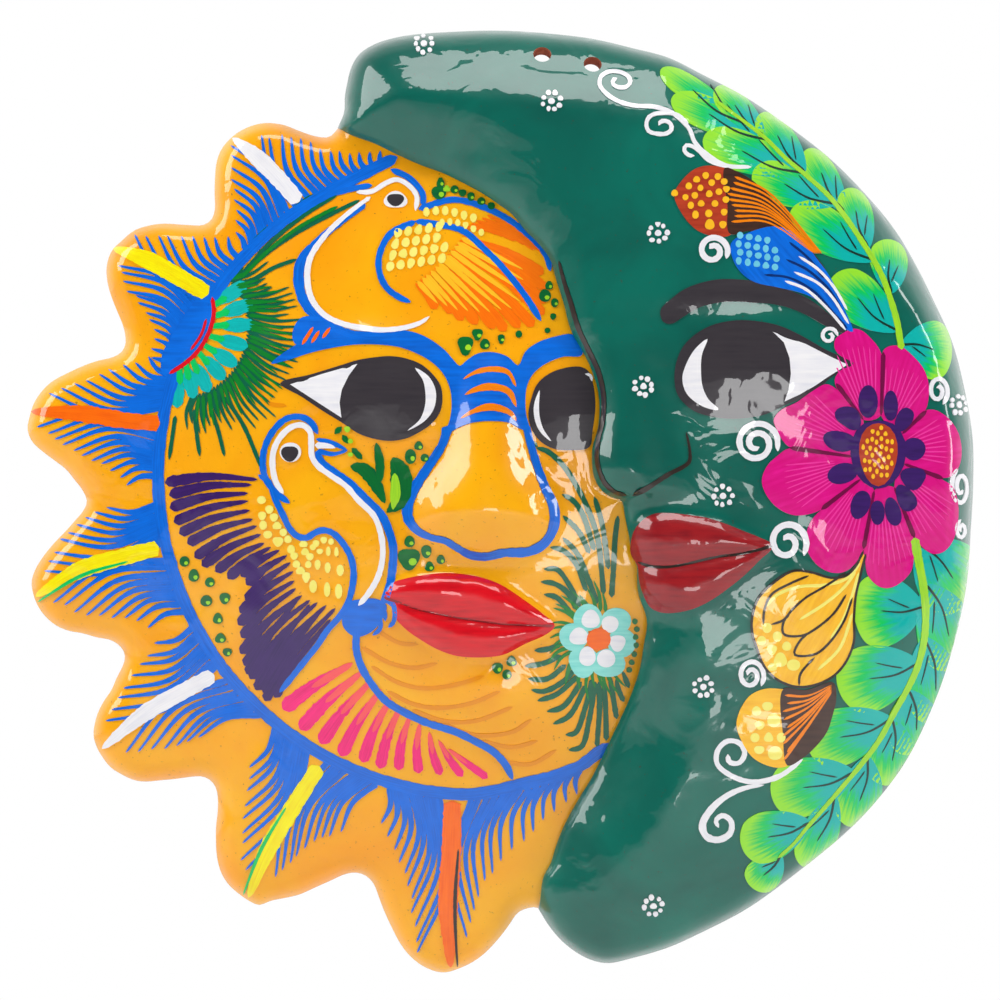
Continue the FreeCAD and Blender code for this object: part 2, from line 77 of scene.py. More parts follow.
SEAM = (
    (-52.3, 119.8), (-47.4, 117.0), (-40.3, 114.4), (-33.6, 111.1), (-26.0, 107.6), (-18.3, 104.7),
    (-10.7, 100.9), (-5.6, 98.1), (-1.5, 95.3), (3.9, 91.3), (8.0, 86.1), (12.2, 81.9), (16.0, 76.7),
    (17.8, 70.5), (20.2, 62.9), (22.6, 53.9), (26.1, 47.5), (28.9, 41.9), (31.3, 33.6), (31.3, 23.9),
    (29.2, 15.5), (29.9, 7.2), (32.3, 3.0), (35.8, 0.6), (38.6, -0.1), (39.6, -4.6), (41.0, -11.5),
    (41.9, -17.1), (43.6, -21.2), (43.6, -25.4), (44.1, -30.2), (46.2, -35.8), (46.9, -39.3), (45.9, -46.2),
    (44.5, -54.4), (41.3, -63.7), (37.9, -71.3), (33.7, -80.3), (29.6, -88.7), (25.4, -95.6),
    (20.5, -104.6), (17.8, -111.6), (16.4, -116.4), (13.9, -121.3), (12.9, -128.9), (12.4, -131.8),
)
MOON_RIM = (
    (12.4, -131.8), (15.7, -137.2), (20.5, -142.8), (27.5, -147.7), (34.4, -149.6), (42.7, -148.0),
    (54.4, -144.5), (65.1, -139.7), (80.3, -131.7), (95.6, -120.6), (110.2, -108.8), (120.6, -98.4),
    (131.0, -84.5), (139.3, -67.8), (145.0, -52.0), (150.4, -28.9), (152.1, -8.0), (152.8, 5.8),
    (152.6, 19.7), (149.7, 37.0), (145.9, 51.2), (140.7, 62.8), (134.5, 75.4), (127.5, 87.1),
    (117.8, 98.9), (106.7, 110.0), (92.8, 120.8), (78.9, 130.2), (65.1, 137.4), (54.4, 142.7),
    (42.7, 145.8), (28.9, 148.9), (11.5, 150.8), (-3.0, 151.4), (-10.7, 151.2), (-20.9, 150.7),
    (-29.6, 149.9), (-34.7, 148.9), (-40.3, 147.1), (-45.4, 143.8), (-47.9, 139.7), (-49.2, 134.6),
    (-50.0, 130.0), (-50.2, 124.9), (-52.3, 119.8),
)
HOLE_RADIUS = 2.9
SUN_MIDDLE = np.array((-7.0, 8.0))
SUN_RADIUS = 102.7
SUN_CROWN = 42.0        # height of the sun's face at its middle
SUN_EDGE = 24.0         # and at its ring
RAY_FALL = 0.13         # fall of the rays for each millimetre outward
MOON_MIDDLE = np.array((1.6, 1.0))
MOON_RADIUS = 156.0
MOON_EDGE = 22.0
MOON_RISE = 24.0
PAD_ROUNDNESS = 0.6     # 1 is a parabola across a lip, and less is fuller
PAD_END = 8.0           # length over which a lip dies out at its corner
CLAY = 6.5              # thickness of the slab
RIM_WALL = 5.2          # width of the foot
FOOT_EASE = 0.9         # width of the foot's inner corner


def smooth(points, step=1.0, closed=False):
    """Evenly spaced points on a soft curve through the given ones."""
    knots = np.array(points, float)
    if closed:
        knots = np.vstack((knots[-1:], knots, knots[:2]))
    else:
        knots = np.vstack((2 * knots[0] - knots[1], knots, 2 * knots[-1] - knots[-2]))
    dense = []
    for a, b, c, d in zip(knots, knots[1:], knots[2:], knots[3:]):
        t1 = max(np.linalg.norm(b - a), 1e-6) ** 0.5
        t2 = t1 + max(np.linalg.norm(c - b), 1e-6) ** 0.5
        t3 = t2 + max(np.linalg.norm(d - c), 1e-6) ** 0.5
        count = max(3, int(np.linalg.norm(c - b) / step * 2))
        t = (t1 + (t2 - t1) * np.arange(count) / count)[:, None]
        ab = (t1 - t) / t1 * a + t / t1 * b
        bc = (t2 - t) / (t2 - t1) * b + (t - t1) / (t2 - t1) * c
        cd = (t3 - t) / (t3 - t2) * c + (t - t2) / (t3 - t2) * d
        abc = (t2 - t) / t2 * ab + t / t2 * bc
        bcd = (t3 - t) / (t3 - t1) * bc + (t - t1) / (t3 - t1) * cd
        dense.append((t2 - t) / (t2 - t1) * abc + (t - t1) / (t2 - t1) * bcd)
    dense = np.vstack(dense + [knots[-2:-1]])
    reach = np.concatenate(([0.0], np.cumsum(np.linalg.norm(np.diff(dense, axis=0), axis=1))))
    count = max(2, int(round(reach[-1] / step)) + 1)
    places = np.linspace(0.0, reach[-1], count)
    result = np.stack([np.interp(places, reach, dense[:, k]) for k in range(knots.shape[1])], axis=1)
    return result[:-1] if closed else result


def signed_distance(loop, across, up):
    """Distance to a closed outline, positive inside it."""
    start = loop
    end = np.roll(loop, -1, axis=0)
    nearest = np.full(across.shape, 1e9)
    inside = np.zeros(across.shape, bool)
    for (ax, az), (bx, bz) in zip(start, end):
        dx = bx - ax
        dz = bz - az
        share = np.clip(((across - ax) * dx + (up - az) * dz) / (dx * dx + dz * dz + 1e-12), 0.0, 1.0)
        nearest = np.minimum(nearest, (across - ax - share * dx) ** 2 + (up - az - share * dz) ** 2)
        if az != bz:
            crosses = (az > up) != (bz > up)
            inside ^= crosses & (across < ax + (up - az) / (bz - az) * dx)
    return np.where(inside, 1.0, -1.0) * np.sqrt(nearest)


ray_rim = smooth(RAY_RIM, 1.6)
seam = smooth(SEAM, 1.6)
moon_rim = smooth(MOON_RIM, 1.6)
sun_outline = np.vstack((ray_rim[:-1], seam[::-1][:-1]))
moon_outline = np.vstack((moon_rim[:-1], seam[:-1]))
silhouette = np.vstack((ray_rim[:-1], moon_rim[:-1]))

# ------------------------------------------------------------------ heights of the clay

REACH = 160.0
COARSE = np.linspace(-REACH, REACH, 321)
FINE = np.linspace(-REACH, REACH, 641)
FINE_STEP = FINE[1] - FINE[0]
coarse_across, coarse_up = np.meshgrid(COARSE, COARSE)
across, up = np.meshgrid(FINE, FINE)


def finer(values):
    """A coarse grid read at the fine grid's places."""
    rows = np.empty((FINE.size, COARSE.size))
    for column in range(COARSE.size):
        rows[:, column] = np.interp(FINE, COARSE, values[:, column])
    result = np.empty((FINE.size, FINE.size))
    for row in range(FINE.size):
        result[row] = np.interp(FINE, COARSE, rows[row])
    return result


def hump(centre, spread):
    """A soft mound over the plan, 1 at its centre."""
    return np.exp(-((across - centre[0]) / spread[0]) ** 2 - ((up - centre[1]) / spread[1]) ** 2)


def roll_off(distance, width, drop):
    """How far a rounded edge falls at a distance inside it."""
    share = np.clip(1.0 - distance / width, 0.0, 1.0)
    return drop * (1.0 - np.sqrt(1.0 - share ** 2))


def lens(left, right, low, high):
    """A pad between a lower and an upper edge, each a row of (across, up) points."""
    low = np.array(low)
    high = np.array(high)
    bottom = np.interp(across, low[:, 0], low[:, 1])
    top = np.interp(across, high[:, 0], high[:, 1])
    place = np.clip((up - bottom) / np.maximum(top - bottom, 0.3), 0.0, 1.0)
    ends = np.clip((across - left) / PAD_END, 0.0, 1.0) * np.clip((right - across) / PAD_END, 0.0, 1.0)
    return (4.0 * place * (1.0 - place)) ** PAD_ROUNDNESS * np.sqrt(ends)


RIPPLE_WAVES = 14


def hand_ripple(scale, seed):
    """Unevenness that fingers leave: a sum of slow waves in many directions."""
    waves = np.random.default_rng(seed)
    total = np.zeros(across.shape)
    for _ in range(RIPPLE_WAVES):
        heading = waves.uniform(0, math.tau)
        length = scale * waves.uniform(0.6, 1.8)
        phase = waves.uniform(0, math.tau)
        total += np.sin((across * math.cos(heading) + up * math.sin(heading)) * math.tau / length + phase)
    return total / RIPPLE_WAVES ** 0.5


def blur(values, passes):
    """Heights softened over their neighbours."""
    for _ in range(passes):
        padded = np.pad(values, 1, mode="edge")
        values = 0.25 * (padded[:-2, 1:-1] + 2 * padded[1:-1, 1:-1] + padded[2:, 1:-1])
        padded = np.pad(values, 1, mode="edge")
        values = 0.25 * (padded[1:-1, :-2] + 2 * padded[1:-1, 1:-1] + padded[1:-1, 2:])
    return values


rim_distance = finer(signed_distance(silhouette, coarse_across, coarse_up))
seam_side = finer(signed_distance(moon_outline, coarse_across, coarse_up))
from_sun = np.hypot(across - SUN_MIDDLE[0], up - SUN_MIDDLE[1])
beyond = np.maximum(from_sun - SUN_RADIUS, 0.0)
sun_base = np.where(from_sun < SUN_RADIUS,
                    SUN_CROWN - (SUN_CROWN - SUN_EDGE) * (from_sun / SUN_RADIUS) ** 2,
                    SUN_EDGE - RAY_FALL * beyond)
sun_base = blur(sun_base, 30)

UPPER_LIP_TOP = ((-37, -31), (-33.6, -26.4), (-26.6, -24), (-18.3, -23.4), (-7.2, -24.7), (-0.3, -26.8),
    (8, -32.3), (13.6, -36.5), (17.4, -40))
LIP_LINE = ((-37, -31), (-26.6, -34.4), (-12.8, -37.5), (1.1, -39.4), (17.4, -40))
LOWER_LIP_BOTTOM = ((-37, -31), (-32.2, -36.5), (-26.6, -42), (-19.7, -46.9), (-12.8, -49.3), (-5.8, -49.8),
    (1.1, -49), (8, -45.5), (14.3, -42.7), (17.4, -40))
MOON_LIP_TOP = ((40.2, -16), (43.5, -6.2), (49.7, -4.6), (55.6, -4.2), (69.7, -6.2), (77.8, -10.9),
    (86.8, -14.6))
MOON_LIP_LINE = ((40.2, -18), (46, -20.4), (54.4, -20.9), (61.6, -19.8), (72, -17.4), (86.8, -14.6))
MOON_LIP_BOTTOM = ((42.4, -22), (45.5, -31), (51.2, -35.4), (61.6, -34.4), (68.5, -30.2), (79, -21.9),
    (86.8, -14.6))


def nose_profile():
    """The sun's nose: a ridge that widens into two wings and ends in a round base."""
    middle = np.interp(up, (-20, 45), (-5.5, -3.2))
    half = np.interp(up, (-16, -8, 2, 12, 25, 45), (14, 18, 17, 11.5, 8.5, 8.0))
    rise = np.interp(up, (-20, -12, -4, 6, 20, 36, 48), (0.0, 6.0, 10.0, 9.0, 6.0, 3.5, 0.0))
    ridge = np.maximum(0.0, 1.0 - ((across - middle) / (half * 1.35)) ** 2) ** 1.3
    wings = 2.2 * hump((-20, -4), (6, 6)) + 2.2 * hump((10.5, -5), (6, 6))
    return blur(rise * ridge + wings, 10)


sun_relief = sun_base - 2.0 * np.exp(-np.maximum(rim_distance, 0.0) / 7.0) - roll_off(rim_distance, 6.5,
                                                                                      7.0)
sun_relief += nose_profile()
sun_relief += 4.0 * lens(-37, 17, LIP_LINE, UPPER_LIP_TOP) + 3.6 * lens(-37, 17, LOWER_LIP_BOTTOM, LIP_LINE)
sun_relief += 2.6 * hump((-38, 33), (22, 13)) + 2.2 * hump((22, 29), (13, 13))
sun_relief += 2.6 * hump((-3, -66), (22, 12)) + 1.5 * hump((-42, -30), (24, 28)) - 1.2 * hump((-10, -19),
    (12, 4))
sun_relief += 1.6 * hump((-42, 52), (26, 5)) + 1.2 * hump((16, 48), (12, 5))
sun_relief += 0.22 * hand_ripple(26.0, 3) + 0.05 * hand_ripple(9.0, 4)

from_moon = np.hypot(across - MOON_MIDDLE[0], up - MOON_MIDDLE[1])
moon_dome = MOON_EDGE + MOON_RISE * np.sqrt(np.maximum(0.0, 1.0 - (from_moon / MOON_RADIUS) ** 2))
moon_low = sun_base + 3.4
bevel = np.interp(up, (-150, -60, -42, -22, 60, 85, 112), (27, 25, 17, 9, 8, 13, 24))
slope = np.clip(seam_side / bevel, 0.0, 1.0)
moon_relief = moon_low + (moon_dome - moon_low) * (1.0 - (1.0 - slope) ** 1.35)
moon_relief = blur(moon_relief, 8)
nose_rise = 6.5 * np.interp(up, (0, 3, 10, 30, 55), (0, 0.85, 1.0, 0.5, 0.0))
nose_middle = np.interp(up, (0, 10, 30, 55), (42, 40, 38, 33))
nose_width = np.interp(up, (0, 10, 30, 55), (11, 12, 9, 7))
moon_relief += nose_rise * np.exp(-((across - nose_middle) / nose_width) ** 2)
moon_relief += 3.2 * lens(40, 87, MOON_LIP_LINE, MOON_LIP_TOP) + 3.0 * lens(42, 87, MOON_LIP_BOTTOM,
                                                                            MOON_LIP_LINE)
moon_relief += 3.4 * hump((52, -54), (11, 13)) + 2.8 * hump((80, 41), (26, 14)) + 1.4 * hump((80, 65),
    (28, 5))
moon_relief += 1.8 * hump((84, -22), (26, 30))
moon_relief -= roll_off(seam_side, 2.4, 2.4) + roll_off(rim_distance, 7.0, 8.0)
moon_relief += 0.26 * hand_ripple(30.0, 11) + 0.05 * hand_ripple(9.0, 12)


class Relief:
    """A front surface over the plan, read between the fine grid's places."""

    def __init__(self, heights):
        self.heights = blur(heights, 5)
        rise_up, rise_across = np.gradient(self.heights, FINE_STEP)
        self.slopes = (rise_across, rise_up)

    def read(self, grid, points):
        place = (np.asarray(points) + REACH) / FINE_STEP
        column = np.clip(place[:, 0].astype(int), 0, FINE.size - 2)
        row = np.clip(place[:, 1].astype(int), 0, FINE.size - 2)
        u = place[:, 0] - column
        v = place[:, 1] - row
        return ((grid[row, column] * (1 - u) + grid[row, column + 1] * u) * (1 - v)
                + (grid[row + 1, column] * (1 - u) + grid[row + 1, column + 1] * u) * v)

    def height(self, points):
        return self.read(self.heights, points)

    def normal(self, points):
        slopes = np.stack([self.read(grid, points) for grid in self.slopes], axis=1)
        normals = np.stack((-slopes[:, 0], -np.ones(len(slopes)), -slopes[:, 1]), axis=1)
        return normals / np.linalg.norm(normals, axis=1)[:, None]


sun_clay = Relief(sun_relief)
moon_clay = Relief(moon_relief)
rim_rise_up, rim_rise_across = np.gradient(rim_distance, FINE_STEP)


def keep_on_clay(plan, margin=0.4):
    """Plan points that would pass the plaque's rim are drawn back to just inside it."""
    short = np.maximum(margin - sun_clay.read(rim_distance, plan), 0.0)
    inward = np.stack((sun_clay.read(rim_rise_across, plan), sun_clay.read(rim_rise_up, plan)), axis=1)
    inward /= np.linalg.norm(inward, axis=1)[:, None] + 1e-9
    return plan + short[:, None] * inward


# ------------------------------------------------------------------ mesh tools

SHARP_ANGLE = 55
STAGGER = 0.866         # row spacing of a grid of equal triangles


def to_frame(points, heights):
    """Plan points and heights in millimetres as frame coordinates in metres."""
    return np.stack((points[:, 0], -heights, points[:, 1]), axis=1) * MM


def triangulate(loops, inner):
    """Triangles over closed loops with extra points inside them."""
    rows = [np.asarray(loop) for loop in loops]
    edges = []
    start = 0
    for row in rows:
        edges += [(start + k, start + (k + 1) % len(row)) for k in range(len(row))]
        start += len(row)
    points = np.vstack(rows + [inner]) if len(inner) else np.vstack(rows)
    result = delaunay_2d_cdt([Vector(p) for p in points], edges, [], 1, 1e-5)
    return np.array([tuple(p) for p in result[0]]), [tuple(face) for face in result[2]]


def inside_points(loop, spacing, margin):
    """Staggered points inside a loop, clear of its edge."""
    low = loop.min(0)
    high = loop.max(0)
    columns = np.arange(low[0], high[0], spacing)
    rows = np.arange(low[1], high[1], spacing * STAGGER)
    grid_across, grid_up = np.meshgrid(columns, rows)
    grid_across[::2] += spacing / 2
    keep = signed_distance(loop, grid_across, grid_up) > margin
    return np.stack((grid_across[keep], grid_up[keep]), axis=1)


def inset_points(loop, distance):
    """Points a set distance inside a loop, without the ones that fold over at corners."""
    tangent = np.roll(loop, -1, axis=0) - np.roll(loop, 1, axis=0)
    tangent /= np.linalg.norm(tangent, axis=1)[:, None] + 1e-9
    moved = loop + np.stack((-tangent[:, 1], tangent[:, 0]), axis=1) * distance
    keep = signed_distance(loop, moved[:, 0], moved[:, 1]) > distance * 0.9
    return moved[keep]


def counter_clockwise(loop):
    """The loop, turned round if it runs clockwise."""
    ahead = np.roll(loop, -1, axis=0)
    area = np.sum(loop[:, 0] * ahead[:, 1] - ahead[:, 0] * loop[:, 1])
    return loop if area > 0 else loop[::-1]


def border(faces):
    """The directed edges that only one face uses."""
    seen = set()
    for face in faces:
        for a, b in zip(face, face[1:] + face[:1]):
            seen.add((a, b))
    return [(a, b) for a, b in seen if (b, a) not in seen]


def new_object(name, places, faces, materials):
    """A smooth-shaded mesh object that is sharp where it turns by more than SHARP_ANGLE."""
    mesh = bpy.data.meshes.new(name)
    mesh.from_pydata(places, [], faces)
    mesh.validate()
    piece = bpy.data.objects.new(name, mesh)
    bpy.context.scene.collection.objects.link(piece)
    for material in materials:
        mesh.materials.append(material)
    mesh.polygons.foreach_set("use_smooth", [True] * len(mesh.polygons))
    mesh.set_sharp_from_angle(angle=math.radians(SHARP_ANGLE))
    return piece


# ------------------------------------------------------------------ materials


def rgb(red, green, blue):
    """A colour given in 0 to 255 display values, as scene-linear."""
    return tuple((c / 255 / 12.92 if c <= 10 else ((c / 255 + 0.055) / 1.055) ** 2.4)
                 for c in (red, green, blue)) + (1.0,)


class Nodes:
    """A material's node tree, built around its own Principled shader."""

    def __init__(self, name):
        self.material = bpy.data.materials.new(name)
        self.material.use_nodes = True
        self.tree = self.material.node_tree
        self.shader = self.tree.nodes["Principled BSDF"]
        self.places = self.add("ShaderNodeTexCoord").outputs["Object"]

    def add(self, kind, **settings):
        node = self.tree.nodes.new(kind)
        for key, value in settings.items():
            setattr(node, key, value)
        return node

    def link(self, source, target):
        self.tree.links.new(source, target)

    def noise(self, scale, detail=3.0, vector=None, distortion=0.0):
        """Noise over the object, or over another vector."""
        node = self.add("ShaderNodeTexNoise")
        node.inputs["Scale"].default_value = scale
        node.inputs["Detail"].default_value = detail
        node.inputs["Distortion"].default_value = distortion
        self.link(vector or self.places, node.inputs["Vector"])
        return node.outputs["Fac"]

    def spread(self, value, low, high, to_low=0.0, to_high=1.0):
        """A value mapped from one range to another, and held inside it."""
        node = self.add("ShaderNodeMapRange")
        node.inputs["From Min"].default_value = low
        node.inputs["From Max"].default_value = high
        node.inputs["To Min"].default_value = to_low
        node.inputs["To Max"].default_value = to_high
        self.link(value, node.inputs["Value"])
        return node.outputs["Result"]

    def blend(self, share, first, second):
        """A mix of two colours, each a colour or a node's output."""
        node = self.add("ShaderNodeMix", data_type="RGBA")
        for value, socket in ((share, node.inputs[0]), (first, node.inputs[6]), (second, node.inputs[7])):
            if isinstance(value, (tuple, float)):
                socket.default_value = value
            else:
                self.link(value, socket)
        return node.outputs[2]

    def lacquer(self, colour, height, strength=0.25):
        """Glossy house paint under a coat of varnish, with its surface bumps."""
        self.link(colour, self.shader.inputs["Base Color"])
        self.shader.inputs["Roughness"].default_value = 0.34
        self.shader.inputs["Specular IOR Level"].default_value = 0.15
        self.shader.inputs["Coat Weight"].default_value = 1.0
        self.shader.inputs["Coat Roughness"].default_value = 0.035
        bump = self.add("ShaderNodeBump")
        bump.inputs["Strength"].default_value = strength
        bump.inputs["Distance"].default_value = 0.0006
        self.link(height, bump.inputs["Height"])
        self.link(bump.outputs["Normal"], self.shader.inputs["Normal"])
        waves = self.add("ShaderNodeBump")
        waves.inputs["Strength"].default_value = 0.5
        waves.inputs["Distance"].default_value = 0.0011
        self.link(self.noise(62.0, 2.0, distortion=1.2), waves.inputs["Height"])
        self.link(waves.outputs["Normal"], self.shader.inputs["Coat Normal"])
        return self.material


def clay_paint(name, main, deep):
    """A brushed ground coat: broad uneven tone, fine speckle and small pits in the varnish."""
    nodes = Nodes(name)
    tone = nodes.blend(nodes.spread(nodes.noise(28.0, 4.0, distortion=0.6), 0.35, 0.7), main, deep)
    speck = nodes.blend(nodes.spread(nodes.noise(900.0, 2.0), 0.68, 0.76, 0.0, 0.5), tone, rgb(70, 50, 35))
    return nodes.lacquer(speck, nodes.noise(160.0, 5.0), 0.3)


def brush_paint(name, main, deep, streaks=9.0):
    """Brush paint: slightly uneven streaks run along each stroke."""
    nodes = Nodes(name)
    mark = nodes.add("ShaderNodeUVMap", uv_map="Stroke")
    scaled = nodes.add("ShaderNodeMapping")
    scaled.inputs["Scale"].default_value = (1.6, streaks, 1.0)
    nodes.link(mark.outputs["UV"], scaled.inputs["Vector"])
    streak = nodes.noise(1.0, 3.0, vector=scaled.outputs["Vector"])
    patch = nodes.noise(140.0, 2.0)
    share = nodes.add("ShaderNodeMath", operation="MULTIPLY")
    nodes.link(nodes.spread(streak, 0.34, 0.72, 0.0, 0.9), share.inputs[0])
    nodes.link(nodes.spread(patch, 0.3, 0.62, 0.35, 1.0), share.inputs[1])
    colour = nodes.blend(share.outputs[0], main, deep)
    return nodes.lacquer(colour, nodes.noise(160.0, 5.0), 0.22)


def leaf_paint(name, root, middle, tip):
    """A leaf's three brushed colours, from its root to its rim, with combed edges between them."""
    nodes = Nodes(name)
    mark = nodes.add("ShaderNodeUVMap", uv_map="Stroke")
    scaled = nodes.add("ShaderNodeMapping")
    scaled.inputs["Scale"].default_value = (16.0, 1.1, 1.0)
    nodes.link(mark.outputs["UV"], scaled.inputs["Vector"])
    comb = nodes.noise(1.0, 3.0, vector=scaled.outputs["Vector"])
    parts = nodes.add("ShaderNodeSeparateXYZ")
    nodes.link(mark.outputs["UV"], parts.inputs[0])
    ragged = nodes.add("ShaderNodeMath", operation="MULTIPLY_ADD")
    nodes.link(comb, ragged.inputs[0])
    ragged.inputs[1].default_value = 0.62
    nodes.link(parts.outputs["Y"], ragged.inputs[2])
    colour = nodes.blend(nodes.spread(ragged.outputs[0], 0.76, 0.98), root, middle)
    colour = nodes.blend(nodes.spread(ragged.outputs[0], 1.02, 1.24), colour, tip)
    return nodes.lacquer(colour, nodes.noise(160.0, 5.0), 0.22)


def raw_clay(name):
    """Unpainted terracotta: cloudy tone, pale dust and a rough surface."""
    nodes = Nodes(name)
    tone = nodes.blend(nodes.spread(nodes.noise(18.0, 6.0), 0.35, 0.65), rgb(186, 98, 60), rgb(150, 74, 46))
    dust = nodes.blend(nodes.spread(nodes.noise(420.0, 3.0), 0.62, 0.8, 0.0, 0.35), tone,
                       rgb(215, 150, 110))
    nodes.link(dust, nodes.shader.inputs["Base Color"])
    nodes.shader.inputs["Roughness"].default_value = 0.85
    bump = nodes.add("ShaderNodeBump")
    bump.inputs["Strength"].default_value = 0.6
    bump.inputs["Distance"].default_value = 0.0012
    nodes.link(nodes.noise(210.0, 6.0), bump.inputs["Height"])
    nodes.link(bump.outputs["Normal"], nodes.shader.inputs["Normal"])
    return nodes.material


sun_ground = clay_paint("sun orange", rgb(254, 180, 4), rgb(250, 160, 0))
moon_ground = clay_paint("moon green", rgb(0, 108, 92), rgb(0, 88, 76))
terracotta = raw_clay("terracotta")

# ------------------------------------------------------------------ the two clay bodies


def make_clay(name, outline, relief, ground):
    """A closed shell: painted front and sides, raw hollow back standing on a foot rim."""
    loop = counter_clockwise(outline)
    rows = [inset_points(loop, distance) for distance in (0.3, 0.8, 1.6, 2.7, 3.9, RIM_WALL,
                                                          RIM_WALL + FOOT_EASE)]
    plan, faces = triangulate([loop], np.vstack(rows + [inside_points(loop, 1.7, RIM_WALL + 1.8)]))
    edge_distance = relief.read(rim_distance, plan)
    front = relief.height(plan)
    foot = np.clip((edge_distance - RIM_WALL) / FOOT_EASE, 0.0, 1.0)
    back = (relief.height(plan) - CLAY) * foot
    count = len(plan)
    places = np.vstack((to_frame(plan, front), to_frame(plan, back)))
    sides = [(b, a, a + count, b + count) for a, b in border(faces)]
    back_faces = [tuple(k + count for k in reversed(face)) for face in faces]
    piece = new_object(name, places, faces + sides + back_faces, (ground, terracotta))
    for polygon in piece.data.polygons[len(faces) + len(sides):]:
        polygon.material_index = 1
    return piece


def drill(piece):
    """Cut the hanging holes where the record's bores are."""
    for mount in frame["record"]["mounts"]:
        if "hole" not in mount["name"]:
            continue
        axis = Vector(mount["axis"])
        bpy.ops.mesh.primitive_cylinder_add(vertices=48, radius=HOLE_RADIUS * MM, depth=0.05,
                                            location=mount["pos_m"])
        cutter = bpy.context.object
        cutter.rotation_mode = "QUATERNION"
        cutter.rotation_quaternion = axis.to_track_quat("Z", "Y")
        cutter.data.materials.append(terracotta)
        modifier = piece.modifiers.new("hole", "BOOLEAN")
        modifier.object = cutter
        modifier.operation = "DIFFERENCE"
        modifier.material_mode = "TRANSFER"
        graph = bpy.context.evaluated_depsgraph_get()
        cut = bpy.data.meshes.new_from_object(piece.evaluated_get(graph))
        piece.modifiers.clear()
        piece.data = cut
        bpy.data.objects.remove(cutter)


sun_body = make_clay("sun_clay", sun_outline, sun_clay, sun_ground)
moon_body = make_clay("moon_clay", moon_outline, moon_clay, moon_ground)
drill(moon_body)

# ------------------------------------------------------------------ paint tools


SINK = 0.2              # how far a layer's underside lies in the clay
LAYER_STEP = 0.006      # each mark of a group lies this much above the last, so that they don't share faces
LAYERS = 9
LANE = 1.3              # widest face across a stroke
BIG_DOT = 2.2           # larger dots need inner points to follow the clay


